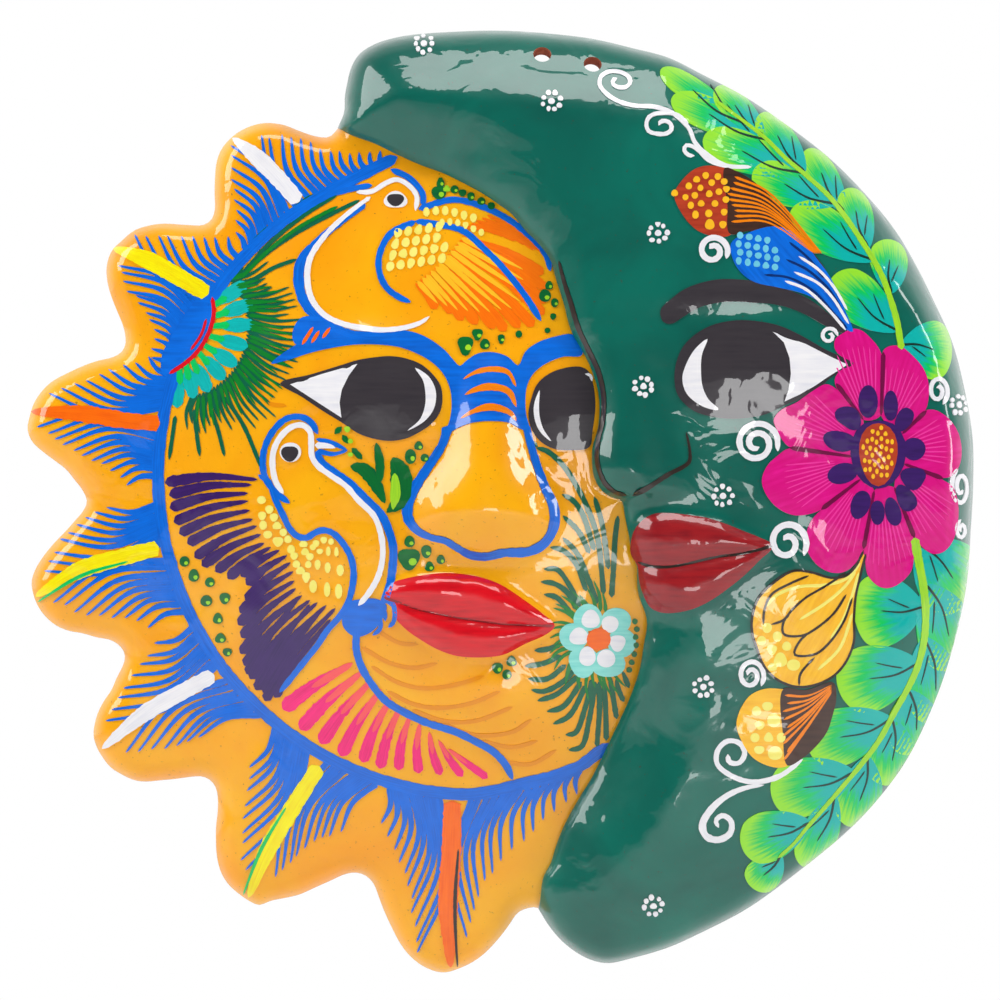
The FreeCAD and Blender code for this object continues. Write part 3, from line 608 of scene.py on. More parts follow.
class Paint:
    """One group of brush marks: thin closed layers of paint that follow the clay under them."""

    def __init__(self, name, clay, material, lift):
        self.name = name
        self.clay = clay
        self.material = material
        self.lift = lift
        self.places = []
        self.faces = []
        self.marks = []
        self.order = 0

    def add_layer(self, plan, faces, marks):
        """One mark from plan points, faces that look outward and (along, across) marks."""
        self.order += 1
        plan = keep_on_clay(np.asarray(plan, float))
        start = len(self.places)
        heights = self.clay.height(plan)
        outward = self.clay.normal(plan)
        base = to_frame(plan, heights)
        lift = self.lift + LAYER_STEP * (self.order % LAYERS)
        top = base + outward * lift * MM
        edges = border(faces)
        rim = sorted({k for edge in edges for k in edge})
        below = {k: start + len(plan) + index for index, k in enumerate(rim)}
        self.places += [tuple(p) for p in top]
        self.places += [tuple(p) for p in (base - outward * SINK * MM)[rim]]
        self.faces += [tuple(start + k for k in face) for face in faces]
        self.faces += [(start + b, start + a, below[a], below[b]) for a, b in edges]
        bottom = dict(below)
        inner = [k for k in range(len(plan)) if k not in below]
        for k in inner:
            bottom[k] = len(self.places)
            self.places.append(tuple(base[k] - outward[k] * SINK * MM))
        self.faces += [tuple(bottom[k] for k in reversed(face)) for face in faces]
        marks = [tuple(mark) for mark in marks]
        self.marks += marks + [marks[k] for k in rim] + [marks[k] for k in inner]

    def stroke(self, points, width=1.6, ends=(1.0, 1.0), step=1.0, jitter=0.05):
        """A brush stroke.  Width is a number or one per point, and ends are its tapered tips' lengths
        as multiples of half the width."""
        widths = np.broadcast_to(np.asarray(width, float), (len(points),))
        path = smooth([(x, z, w) for (x, z), w in zip(points, widths)], step)
        if len(path) < 3:
            path = smooth([(x, z, w) for (x, z), w in zip(points, widths)], step / 3)
        line = path[:, :2]
        half = np.maximum(path[:, 2], 0.15) / 2
        reach = np.concatenate(([0.0], np.cumsum(np.linalg.norm(np.diff(line, axis=0), axis=1))))
        length = reach[-1]
        for end, distance in zip(ends, (reach, length - reach)):
            share = np.clip(distance / np.maximum(half * end, 0.05), 0.0, 1.0)
            half = half * np.sqrt(np.maximum(1.0 - (1.0 - share) ** 2, 0.02))
        half = half * (1.0 + jitter * rng.normal(size=len(half)))
        direction = np.gradient(line, axis=0)
        direction /= np.linalg.norm(direction, axis=1)[:, None] + 1e-9
        aside = np.stack((-direction[:, 1], direction[:, 0]), axis=1)
        lanes = int(max(2, math.ceil(half.max() * 2 / LANE))) + 1
        across_share = np.linspace(-1.0, 1.0, lanes)
        plan = (line[:, None, :] + aside[:, None, :] * (half[:, None] * across_share)[:, :,
                                                                                      None]).reshape(-1, 2)
        faces = []
        for row in range(len(line) - 1):
            for lane in range(lanes - 1):
                a = row * lanes + lane
                faces.append((a, a + lanes, a + lanes + 1, a + 1))
        marks = [(reach[row] / 20.0 + self.order * 0.37, lane / (lanes - 1))
                 for row in range(len(line)) for lane in range(lanes)]
        self.add_layer(plan, faces, marks)

    def strokes(self, rows, width=1.6, **options):
        """Strokes of one width, one for each row of points."""
        for row in rows:
            self.stroke(row, width, **options)

    def blob(self, outline, soft=True, spacing=1.6, grain=0.0):
        """A filled patch.  Its streaks run along the grain angle, in degrees."""
        loop = smooth(outline, 1.0, closed=True) if soft else np.asarray(outline, float)
        loop = counter_clockwise(loop)
        plan, faces = triangulate([loop], inside_points(loop, spacing, 0.55 * spacing))
        turn = math.radians(grain)
        along = plan @ np.array((math.cos(turn), math.sin(turn)))
        aside = plan @ np.array((-math.sin(turn), math.cos(turn)))
        self.add_layer(plan, faces, np.stack((along / 20.0, aside / 12.0), axis=1))

    def dot(self, across, up, radius, tall=None, lean=0.0):
        """A dab, slightly uneven, with its own shade."""
        tall = radius if tall is None else tall
        count = 10 if radius < 1.5 else 20
        turn = math.radians(lean)
        bump = rng.normal(size=3) * 0.06
        loop = []
        for k in range(count):
            angle = math.tau * k / count
            wobble = 1.0 + bump[0] * math.cos(2 * angle) + bump[1] * math.sin(3 * angle)
            dx = radius * wobble * math.cos(angle)
            dz = tall * wobble * math.sin(angle)
            loop.append((across + dx * math.cos(turn) - dz * math.sin(turn),
                         up + dx * math.sin(turn) + dz * math.cos(turn)))
        if max(radius, tall) > BIG_DOT:
            self.blob(loop, soft=False, spacing=1.3)
            return
        plan = [(across, up)] + loop
        faces = [(0, 1 + k, 1 + (k + 1) % count) for k in range(count)]
        tone = rng.uniform(0, 5)
        marks = [(tone, 0.0)] + [(tone + 0.02, 0.05)] * count
        self.add_layer(plan, faces, marks)

    def dots(self, rows, radius=None):
        """Dots at (across, up, radius) rows, or all of one radius."""
        for row in rows:
            if radius is None:
                self.dot(*row)
            else:
                self.dot(row[0], row[1], radius)

    def feathers(self, roots, tips, width, bend=0.06, count=9):
        """Drop-shaped feathers: thin at their roots, broad and round at their tips."""
        first = smooth(roots, 0.5)
        last = smooth(tips, 0.5)
        for share in np.linspace(0.0, 1.0, count):
            a = first[int(share * (len(first) - 1))]
            b = last[int(share * (len(last) - 1))] + rng.normal(size=2) * 0.3
            side = np.array((a[1] - b[1], b[0] - a[0])) * bend
            self.stroke([a, (a + b) / 2 + side, 0.15 * a + 0.85 * b + 0.4 * side, b],
                        (width * 0.3, width * 0.72, width, width * 0.9), ends=(3.0, 1.0))

    def fan(self, starts, tips, width, bend=0.12, count=None, sharp=3.0):
        """Tapering strokes from a soft line of starts to a soft line of tips, each a little bowed."""
        first = smooth(starts, 0.5)
        last = smooth(tips, 0.5)
        count = len(tips) if count is None else count
        for share in np.linspace(0.0, 1.0, count):
            a = first[int(share * (len(first) - 1))] + rng.normal(size=2) * 0.2
            b = last[int(share * (len(last) - 1))] + rng.normal(size=2) * 0.3
            side = np.array((a[1] - b[1], b[0] - a[0])) * bend
            self.stroke([a, (a + b) / 2 + side, b], (width, width * 0.8, width * 0.3), ends=(0.8, sharp))

    def finish(self):
        """Make the group's object, with each point's place in its own stroke as UVs."""
        piece = new_object(self.name, self.places, self.faces, (self.material,))
        layer = piece.data.uv_layers.new(name="Stroke")
        corners = np.empty(len(piece.data.loops), dtype=np.int64)
        piece.data.loops.foreach_get("vertex_index", corners)
        layer.data.foreach_set("uv", np.array(self.marks)[corners].astype(np.float32).ravel())
        painted.append(piece)


painted = []


def spiral(centre, radius, inner=0.25, turns=1.6, start=0.0, tall=1.0, count=16):
    """A scroll that winds inward from a start angle in degrees."""
    rows = []
    for k in range(count):
        share = k / (count - 1)
        turn = math.radians(start) + math.tau * turns * share
        reach = radius * (1.0 - (1.0 - inner) * share)
        rows.append((centre[0] + reach * math.cos(turn), centre[1] + tall * reach * math.sin(turn)))
    return rows


white_paint = brush_paint("white paint", rgb(244, 242, 244), rgb(222, 222, 232))
blue_paint = brush_paint("blue paint", rgb(0, 112, 228), rgb(0, 84, 188))
yellow_paint = brush_paint("yellow paint", rgb(252, 240, 0), rgb(240, 205, 0))
orange_paint = brush_paint("orange paint", rgb(255, 112, 0), rgb(240, 88, 0))
deep_orange_paint = brush_paint("feather orange paint", rgb(248, 138, 6), rgb(235, 112, 0))
line_yellow_paint = brush_paint("ochre paint", rgb(240, 150, 0), rgb(226, 132, 0))
red_paint = brush_paint("red paint", rgb(228, 8, 28), rgb(190, 0, 22))
dark_red_paint = brush_paint("dark red paint", rgb(160, 26, 32), rgb(122, 16, 28))
eye_dark_paint = brush_paint("eye grey paint", rgb(58, 53, 58), rgb(50, 46, 52))
green_dot_paint = brush_paint("dot green paint", rgb(0, 112, 44), rgb(0, 84, 50))
bright_green_paint = brush_paint("bright green paint", rgb(0, 205, 96), rgb(0, 170, 90))
lime_paint = brush_paint("lime paint", rgb(168, 222, 40), rgb(120, 200, 50))
turquoise_paint = brush_paint("turquoise paint", rgb(0, 186, 182), rgb(0, 160, 160))
grass_paint = brush_paint("grass green paint", rgb(0, 104, 72), rgb(0, 82, 60))
pale_yellow_paint = brush_paint("pale yellow paint", rgb(250, 240, 125), rgb(240, 220, 80))
purple_paint = brush_paint("purple paint", rgb(60, 26, 104), rgb(44, 18, 82))
pink_paint = brush_paint("pink paint", rgb(255, 24, 128), rgb(222, 0, 98))
coral_paint = brush_paint("coral paint", rgb(255, 92, 92), rgb(245, 70, 90))
magenta_paint = brush_paint("magenta paint", rgb(214, 0, 122), rgb(230, 20, 145))
dark_line_paint = brush_paint("dark line paint", rgb(16, 58, 48), rgb(10, 40, 36))
black_line_paint = brush_paint("brown black paint", rgb(52, 40, 34), rgb(30, 26, 26))
red_brown_paint = brush_paint("red brown paint", rgb(190, 66, 38), rgb(150, 44, 28))
bud_yellow_paint = brush_paint("bud yellow paint", rgb(255, 196, 40), rgb(240, 165, 20))
light_blue_paint = brush_paint("light blue paint", rgb(115, 205, 228), rgb(80, 180, 215))
garland_paint = leaf_paint("garland paint", rgb(0, 178, 170), rgb(0, 200, 92), rgb(150, 226, 50))
grass_light_paint = brush_paint("grass light paint", rgb(0, 132, 40), rgb(0, 112, 40))
mint_paint = brush_paint("mint paint", rgb(150, 230, 220), rgb(90, 205, 195))
brown_paint = brush_paint("bud brown paint", rgb(72, 46, 36), rgb(50, 32, 28))
wing_orange_paint = brush_paint("wing orange paint", rgb(255, 122, 0), rgb(245, 100, 0))
wing_yellow_paint = brush_paint("wing yellow paint", rgb(255, 196, 40), rgb(255, 178, 20))
petal_streak_paint = brush_paint("petal streak paint", rgb(240, 62, 165), rgb(228, 20, 140))
petal_fold_paint = brush_paint("petal fold paint", rgb(120, 0, 70), rgb(88, 0, 52))
deep_blue_paint = brush_paint("deep blue paint", rgb(0, 50, 120), rgb(0, 34, 90))

# ------------------------------------------------------------------ paint on the sun's rays

ring = Paint("sun_ring", sun_clay, blue_paint, 0.30)
RING_RADIUS = 102.6
RING_OUTSIDE = 103.5


def ring_point(angle, radius=RING_OUTSIDE):
    """A point on the ring round the sun's face, at an angle in degrees."""
    turn = math.radians(angle)
    return SUN_MIDDLE[0] + radius * math.cos(turn), SUN_MIDDLE[1] + radius * math.sin(turn)


ring_line = [(-33.0, 110.0), (-48, 102.5)]
ring_line += [ring_point(angle, RING_RADIUS) for angle in range(118, 266, 6)]
ring_line += [(-9, -94.3), (0, -92.8), (8, -90.8), (17, -88.6), (25, -85.6), (31, -81.2), (35, -78)]
ring.stroke(ring_line, 3.9, ends=(2.0, 2.0), step=1.6)

hatch = Paint("sun_ray_hatching", sun_clay, blue_paint, 0.24)
# Each fan: the angles round the face where its strokes leave the ring, and its line of tips.
RAY_FANS = (
    ((124, 107), ((-76.7, 117.5), (-67, 117), (-57.5, 113), (-50, 111.5), (-38, 112)), 13),
    ((126, 136), ((-86.5, 114), (-86, 104.5), (-85, 94), (-84.5, 86)), 9),
    ((148, 138), ((-117.5, 85.5), (-102.7, 85), (-93, 84.3), (-87.5, 84.5)), 9),
    ((149.5, 161), ((-122.5, 76), (-121, 70), (-115, 61.8), (-111, 54.3), (-112, 45.5)), 12),
    ((168, 162), ((-145, 34.4), (-127, 40.5), (-116.5, 44.5), (-113, 45.5)), 9),
    ((171, 180), ((-148.5, 23.7), (-140, 17.2), (-126, 10.3), (-120, 4.5)), 11),
    ((192, 185), ((-146.5, -23), (-141, -12.5), (-132.5, -5.5), (-126.5, -2)), 9),
    ((195.5, 205), ((-144, -33), (-132, -37), (-118.5, -38.5), (-113, -41)), 9),
    ((216, 208), ((-127, -71), (-118, -56), (-112, -47.5), (-111, -46)), 8),
    ((219.5, 228), ((-120, -81), (-104, -79), (-97, -76)), 7),
    ((238, 231), ((-82.5, -119.5), (-83, -105), (-80.5, -89), (-80.5, -85.5)), 9),
    ((242.5, 252), ((-72, -121), (-62.5, -112.5), (-59.5, -109.5), (-51, -107)), 9),
    ((263, 254), ((-26.5, -145.5), (-29.5, -124.5), (-34, -112), (-38, -104.5)), 11),
)
for (first, last), tips, count in RAY_FANS:
    starts = [ring_point(first + (last - first) * k / 4) for k in range(5)]
    bend = 0.13 if first > last else -0.13
    hatch.fan(starts, tips, 2.1, bend=bend, count=count)
hatch.fan([(-9, -95.5), (4, -92.5), (16, -90), (26, -86)], [(-11, -140.5), (-6, -125), (-1, -117.5),
    (6.8, -110), (15, -102), (25, -94)], 2.0, bend=-0.13, count=14)

# Each bar runs from the ring to the tip of its ray.
RAY_BARS = (
    (white_paint, ((-64.5, 95.5), (-71, 103), (-78, 110), (-86, 116.5)), 5.2),
    (yellow_paint, ((-93.5, 66), (-103, 71.5), (-113, 77), (-124.5, 81)), 5.6),
    (orange_paint, ((-109, 24.5), (-120, 25.5), (-135, 27.8), (-151, 28.4)), 5.2),
    (yellow_paint, ((-109.3, -15.3), (-120, -18), (-135, -22.5), (-149.5, -31)), 5.4),
    (white_paint, ((-91.7, -56), (-100, -60.5), (-114, -68.5), (-128, -80)), 5.2),
    (yellow_paint, ((-58, -85.3), (-67, -99.5), (-75, -113), (-81, -128)), 5.4),
    (orange_paint, ((-15.3, -96.5), (-15.6, -112), (-16.7, -130), (-16, -150.5)), 6.2),
)
# Bars with a thin edge: how far it lies to the left of the bar's line, and its paint. The green edges are
# paint lines; the lowest bar's dark brown edge is a painted shadow.
BAR_EDGE_LINES_AND_SHADOW = {3: (1.87, bright_green_paint), 5: (-1.87, bright_green_paint), 6: (2.21, black_line_paint)}
for index, (paint, line, width) in enumerate(RAY_BARS):
    bar = Paint(f"sun_ray_bar_{index + 1}", sun_clay, paint, 0.40)
    bar.stroke(line, (width * 0.9, width, width, width * 0.35), ends=(0.4, 3.0), jitter=0.04)
    bar.finish()
    if index in BAR_EDGE_LINES_AND_SHADOW:
        offset, edge_line_and_shadow_paint = BAR_EDGE_LINES_AND_SHADOW[index]
        path = np.array(line)
        along = path[-1] - path[0]
        aside = np.array((-along[1], along[0])) / np.linalg.norm(along)
        # The lowest bar's dark brown edge is a painted shadow line; the green edges are paint lines.
        edge = Paint(f"sun_ray_bar_edge_and_shadow_{index + 1}", sun_clay, edge_line_and_shadow_paint, 0.47)
        edge.stroke(path[1:] + aside * offset, (0.6, 1.2, 0.5), ends=(3.0, 3.0))
        edge.finish()
ring.finish()
hatch.finish()

# ------------------------------------------------------------------ paint on the sun's cheeks

# Half flower that grows in from the ring.
ROSETTE = (-103.0, 55.0)
petals = Paint("rosette_outer_petals", sun_clay, turquoise_paint, 0.26)
for tip in ((-81, 69.5), (-79, 63), (-78.5, 56.2), (-80.5, 49), (-84, 43), (-88, 38.5), (-93, 34.5),
            (-98, 32.5),
            (-103.5, 29.5)):
    root = (tip[0] * 0.55 + ROSETTE[0] * 0.45, tip[1] * 0.55 + ROSETTE[1] * 0.45)
    petals.stroke((root, ((root[0] + tip[0]) / 2, (root[1] + tip[1]) / 2), tip), (2.2, 4.6, 3.2),
                  ends=(1.5, 1.0))
petals.finish()
inner_petals = Paint("rosette_inner_petals", sun_clay, bright_green_paint, 0.33)
for tip in ((-87.5, 65), (-86.5, 60.5), (-86.5, 56), (-88, 51.2), (-90.5, 47), (-93, 43.2), (-96.5, 40.3),
            (-99.5, 38.3), (-102.5, 37)):
    root = (tip[0] * 0.6 + ROSETTE[0] * 0.4, tip[1] * 0.6 + ROSETTE[1] * 0.4)
    inner_petals.stroke((root, tip), (1.6, 2.4), ends=(1.5, 1.0))
inner_petals.finish()
heart = Paint("rosette_heart", sun_clay, blue_paint, 0.36)
heart.blob(((-95, 66), (-92, 61), (-92.3, 56), (-94.5, 50.5), (-98, 46), (-102.5, 43), (-108, 40),
    (-108.5, 46), (-104.5, 54), (-100, 61)))
heart.finish()
rim = Paint("rosette_rim", sun_clay, red_paint, 0.44)
rim.stroke(((-92.2, 65), (-91.6, 60), (-92.8, 54.5), (-96, 48.5), (-100.5, 44), (-106, 40.5)), 1.3,
    ends=(3, 3))
rim.stroke(((-94, 58), (-95.6, 53), (-99, 48)), 0.9, ends=(3, 3))
rim.finish()

grass = Paint("sun_left_grass", sun_clay, grass_paint, 0.22)
for share in np.linspace(0.0, 1.0, 40):
    angle = math.radians(50 - 128 * share)
    reach = 31 + 9 * math.sin(math.pi * share) + rng.uniform(-3, 4)
    root = (ROSETTE[0] + 22 * math.cos(angle), ROSETTE[1] + 22 * math.sin(angle))
    tip = (ROSETTE[0] + reach * math.cos(angle - 0.12), ROSETTE[1] + reach * math.sin(angle - 0.12))
    middle = ((root[0] + tip[0]) / 2 + 1.2 * math.sin(angle),
              (root[1] + tip[1]) / 2 - 1.2 * math.cos(angle))
    grass.stroke((root, middle, tip), (1.3, 1.1, 0.5), ends=(1, 4))
light_grass = Paint("sun_grass_lights", sun_clay, grass_light_paint, 0.28)
for share in np.linspace(0.02, 0.98, 34):
    angle = math.radians(48 - 124 * share + rng.uniform(-2, 2))
    reach = 29 + 7 * math.sin(math.pi * share) + rng.uniform(-3, 4)
    root = (ROSETTE[0] + 23 * math.cos(angle), ROSETTE[1] + 23 * math.sin(angle))
    tip = (ROSETTE[0] + reach * math.cos(angle - 0.1), ROSETTE[1] + reach * math.sin(angle - 0.1))
    light_grass.stroke((root, ((root[0] + tip[0]) / 2, (root[1] + tip[1]) / 2), tip), (1.2, 0.9, 0.4),
                       ends=(1, 4))
light_grass.strokes((((-83, 71), (-74, 80), (-64, 87.5), (-52, 94)), ((-85, 73), (-76, 83.5), (-64, 93),
    (-56, 97.5))), 1.2, ends=(1, 5))
for angle in range(78, 300, 9):
    turn = math.radians(angle + rng.uniform(-3, 3))
    reach = rng.uniform(15, 20)
    light_grass.stroke(((31.5 + 8.5 * math.cos(turn), -44.5 + 9 * math.sin(turn)),
                        (31.5 + 0.7 * reach * math.cos(turn + 0.05),
                         -44.5 + 0.75 * reach * math.sin(turn + 0.05)),
                        (31.5 + 0.88 * reach * math.cos(turn + 0.16),
                         -44.5 + reach * math.sin(turn + 0.16))),
                       (1.4, 1.0, 0.4), ends=(1, 4))
light_grass.finish()
grass.strokes((((-84, 70), (-76, 78), (-66, 85), (-55, 91), (-45, 96)), ((-83, 72), (-74, 82), (-63, 91),
    (-52, 98)), ((-86, 73), (-78, 84), (-68, 92), (-60, 98)), ((-82, 68), (-73, 74), (-65, 77)),
    ((-88, 33), (-82, 24), (-78, 15), (-76, 10)), ((-93, 31), (-90, 22), (-88, 14)),
    ((-98, 29), (-97, 21), (-96, 14)), ((-104, 27), (-105, 20), (-106, 13))), 1.3, ends=(1, 5))
grass.finish()

# ------------------------------------------------------------------ the upper bird

WING_TIPS = ((13.5, 72), (14.5, 65), (13, 56), (6.5, 55), (0.5, 54.5), (-5, 55.5), (-10, 56.5), (-15, 59),
    (-20, 61))
WING_ROOTS = ((-12, 84), (-17, 78), (-22, 73), (-27, 69))
feathers = Paint("upper_bird_feathers", sun_clay, wing_orange_paint, 0.22)
feathers.feathers(WING_ROOTS, WING_TIPS, 3.4, bend=0.05, count=12)
feathers.feathers(((-4, 91), (-8, 89), (-11, 87)), ((15, 79), (9, 82), (2, 85.5)), 2.6, bend=0.05, count=5)
feathers.finish()
feathers = Paint("upper_bird_feather_lights", sun_clay, wing_yellow_paint, 0.30)
root_line = smooth(WING_ROOTS, 0.5)
tip_line = smooth(WING_TIPS, 0.5)
for share in np.linspace(0.04, 0.96, 12):
    a = root_line[int(share * (len(root_line) - 1))]
    b = tip_line[int(share * (len(tip_line) - 1))]
    feathers.stroke((a, 0.6 * a + 0.4 * b, 0.25 * a + 0.75 * b), (1.8, 1.5, 0.4), ends=(2, 5))
feathers.finish()
wing = Paint("upper_bird_blue", sun_clay, blue_paint, 0.32)
wing.strokes((
    ((-26, 93), (-15, 96), (-5, 93.5), (5, 88), (14.5, 78.5), (16, 73)),
    ((-27, 89), (-20, 88), (-12, 86), (-5, 80), (0, 75), (8, 65), (13, 57)),
    ((-27, 89), (-35, 85), (-38.5, 78), (-38.3, 72), (-36, 67.5), (-32, 64.5), (-28.5, 63)),
), 2.0, ends=(2, 4))
wing.stroke(((-35, 106), (-29, 103), (-24.8, 98), (-24.6, 94)), 2.0, ends=(3, 2))
wing.stroke(((-41, 100.8), (-47, 99.8), (-54, 98)), 1.8, ends=(2, 3))
wing.stroke(((-43, 94.5), (-51, 89), (-58.5, 82.5), (-63.5, 76.5), (-64.3, 70), (-62.8, 64), (-58.5, 58.6),
    (-50, 53.6), (-42, 51.8), (-32, 52.4)), (1.6, 2.0, 2.4, 3.0, 3.4, 3.2, 3.0, 2.6, 2.0, 1.4), ends=(2, 4))
wing.blob(((-65.5, 50), (-66, 54), (-63.5, 58), (-58, 58.5), (-53, 56), (-50, 53), (-54, 51), (-59, 48.5)))
wing.finish()
wing = Paint("upper_bird_white", sun_clay, white_paint, 0.40)
wing.stroke(((-46, 98.6), (-41, 98.8), (-36.5, 101.5), (-33, 102.6), (-29, 100.5), (-26.6, 97),
    (-27, 92.5)), 1.5, ends=(3, 3))
wing.stroke(((-41.5, 97), (-49, 91.3), (-56, 84.5), (-60.8, 77), (-61.5, 70), (-60, 64), (-56, 59),
    (-50, 56), (-43, 54.5), (-37, 54), (-30, 54.8), (-25, 56.5), (-22.5, 58.3)),
    (1.2, 1.5, 1.7, 1.8, 1.9, 1.9, 1.8, 1.8, 1.7, 1.6, 1.5, 1.2, 0.8), ends=(2, 4))
wing.dot(-33.4, 96, 3.6, 2.8)
wing.finish()
slits = Paint("upper_bird_crest_slits", sun_clay, orange_paint, 0.42)
slits.strokes((((-63, 49.5), (-59.5, 55)), ((-60, 50), (-57.5, 53.8)), ((-56.5, 51.5), (-54, 54.8))), 1.1,
    ends=(3, 3))
slits.finish()
pupils = Paint("bird_pupils", sun_clay, eye_dark_paint, 0.50)
pupils.dot(-33.4, 96, 2.6, 2.1)
spots = Paint("bird_pale_dots", sun_clay, pale_yellow_paint, 0.34)
for row in range(4):
    for place in range(6 - row // 2):
        spots.dot(-35 + place * 3.3 + row * 0.8, 74.5 + row * 3.6 + 0.5 * place, 1.25, 1.7, lean=-20)
for place in range(6):
    spots.dot(-23.5 + place * 3.0, 92.0 + 0.9 * math.sin(place * 0.8) - 0.25 * place, 1.1, 1.5)
    spots.dot(-18.5 + place * 2.5, 88.6 + 0.9 * math.sin(place * 0.8) - 0.5 * place, 0.9, 1.2)

# ------------------------------------------------------------------ the lower bird

feathers = Paint("lower_bird_purple_feathers", sun_clay, purple_paint, 0.22)
PURPLE_TIPS = ((-107.3, 5.8), (-105.9, 0.6), (-104.8, -4.6), (-103.5, -9.1), (-100.7, -14), (-97.5, -18.1),
    (-94.1, -21.6), (-90.6, -22.7), (-86.5, -25.4), (-80.9, -25.4), (-80.9, -30), (-82.6, -34.5),
    (-83.7, -40), (-83, -45.2), (-82.6, -50.8), (-80, -57), (-75.5, -64.5))
PURPLE_ROOTS = ((-77.4, 6.5), (-80.2, 3.4), (-79.5, -4.6), (-76.7, -9.8), (-75, -14), (-68.5, -17),
    (-66, -22.5), (-65, -28.5), (-61.5, -31.5), (-57, -33), (-52.5, -34.5))
feathers.feathers(PURPLE_ROOTS, PURPLE_TIPS, 3.5, bend=-0.05, count=21)
feathers.feathers(((-64, -31), (-58, -35), (-54, -38)), ((-81, -56), (-77, -61), (-72, -63)), 3.2,
    bend=-0.03, count=4)
feathers.finish()
TAIL_ROOT = (-47.0, -46.0)
TAIL_TIPS = ((-69.5, -67), (-64, -73.5), (-57.5, -78), (-51, -82), (-44, -84), (-38.5, -86), (-32.5, -86.5),
    (-26, -87.5), (-19, -88), (-12, -88.5), (-4, -89))
tail = Paint("lower_bird_pink_feathers", sun_clay, pink_paint, 0.24)
shade = Paint("lower_bird_coral_feathers", sun_clay, coral_paint, 0.31)
for index, tip in enumerate(TAIL_TIPS):
    slide = index * 2.9
    root = (TAIL_ROOT[0] + slide * 1.05, TAIL_ROOT[1] - 6 - slide * 0.95)
    middle = (0.45 * root[0] + 0.55 * tip[0] - 0.8, 0.45 * root[1] + 0.55 * tip[1] + 0.4)
    size = 5.2 - 0.26 * index
    tail.stroke((root, middle, tip), (size * 0.25, size * 0.8, size), ends=(2.5, 1.1))
    shade.stroke((root, (0.6 * root[0] + 0.4 * middle[0], 0.6 * root[1] + 0.4 * middle[1]), middle),
                 (size * 0.3, size * 0.5, size * 0.25), ends=(3, 3))
tail.finish()
shade.finish()

belly = Paint("lower_bird_blue", sun_clay, blue_paint, 0.34)
belly.stroke(((-67, -1), (-71.5, 2.5), (-74.8, 7), (-75.6, 13), (-74.5, 18), (-71.8, 22.6), (-68, 25.9),
    (-63.5, 26.5), (-60, 24.6), (-58, 21)), 2.0, ends=(3, 3))
belly.stroke(((-58.5, 19.4), (-53, 18), (-48.5, 15.8)), (1.2, 1.6, 0.8), ends=(2, 3))
belly.stroke(((-48.5, 15.8), (-53, 14.6), (-57.8, 15.2), (-56.8, 12.3), (-53.5, 9.6), (-47.5, 5.4),
    (-42.8, 0.6), (-37.5, -5), (-35.2, -10), (-33.9, -15), (-34, -20), (-35, -27), (-37, -33)),
    (0.8, 1.2, 2.0, 2.2, 2.2, 2.2, 2.4, 2.6, 2.6, 2.6, 2.6, 2.6, 2.6), ends=(2, 1))
belly.stroke(((-77, 8), (-74, 6), (-71, -1), (-69, -5), (-67, -9), (-64.5, -11.5), (-61.5, -12),
    (-59, -10.5), (-56.5, -9.6), (-53.5, -10.3), (-50.5, -13), (-47.5, -18), (-46.5, -23), (-47, -28),
    (-48.5, -33), (-51, -37), (-55, -41.5), (-58, -46), (-62, -51), (-66, -56), (-70.5, -61.5)), 2.0,
    ends=(3, 4))
belly.blob(((-49, -33), (-44, -31.5), (-39, -31.5), (-36, -33.5), (-37.5, -38), (-41, -42), (-46, -43.5),
    (-50, -40)))
belly.stroke(((-45.5, -41), (-45.8, -47), (-44.2, -53), (-40.7, -59), (-36.5, -64), (-30, -68),
    (-23.5, -71), (-14, -74), (-8, -77), (-2, -80.5), (2, -85), (4, -89.5)), 2.3, ends=(1, 4))
belly.strokes((((-37, -31.5), (-34, -33), (-33.3, -35.5), (-34, -39), (-35.5, -40.5)),
    ((-38.5, -33.5), (-36.8, -35.5), (-36.5, -38.5)), ((-40, -35), (-38.3, -37.5), (-38.2, -41),
    (-40.5, -43))), 1.5, ends=(1, 3))
belly.finish()
body = Paint("lower_bird_white", sun_clay, white_paint, 0.42)
body.stroke(((-69, 2), (-71.5, 6), (-72.5, 12), (-72, 16), (-70, 20), (-66.5, 23.2), (-63, 23.9),
    (-60.5, 22), (-60, 18), (-59.8, 14), (-58, 11), (-54, 8), (-49, 4.5), (-45, 0), (-40, -5), (-38, -10),
    (-37.2, -15), (-37.5, -20), (-39, -25), (-42, -30), (-45, -33.5)), 1.8, ends=(4, 4))
body.stroke(((-58.8, 17.4), (-54.5, 17.2), (-52.2, 16.6)), (2.2, 1.6, 0.8), ends=(1, 3))
body.dot(-66.7, 15.2, 3.3)
body.finish()
pupils.dot(-66.9, 14.8, 2.6)
pupils.finish()
for row in (((-76, 0, 1.1), (-73.5, -3, 1.1), (-75.8, -5, 1.1), (-72, -5.5, 1.1), (-75.5, -8, 1.1),
             (-71, -8.2, 1.1),
            (-74, -11, 1.1), (-70.7, -13.2, 1.3), (-69, -10.3, 1.0), (-67.5, -12.5, 1.0),
            (-66.5, -15.7, 1.1),
            (-65.5, -17.8, 1.0), (-64.8, -20.4, 1.0), (-62.5, -14, 1.0), (-62, -16.5, 1.0),
            (-60.5, -18, 1.0),
            (-63.5, -22.5, 1.1), (-61, -20.5, 0.9), (-58, -20.5, 0.8, 1.3), (-54.8, -21.5, 0.8, 1.4),
            (-50.8, -22.3, 0.9, 1.6), (-61.7, -24.5, 1.0, 1.5), (-59.5, -27.5, 1.0, 1.7),
            (-55, -28.5, 0.8, 2.0),
            (-51.3, -29, 1.0, 1.9), (-58.5, -13.8, 0.9), (-56, -12.7, 0.9), (-53.7, -13.2, 0.8),
            (-52, -16.5, 0.6, 1.2), (-54.6, -16.3, 0.6, 1.3), (-57.3, -16.3, 0.8), (-59.5, -15, 0.8))):
    spots.dot(row[0], row[1], 1.25 * row[2], 1.25 * row[-1])
spots.finish()

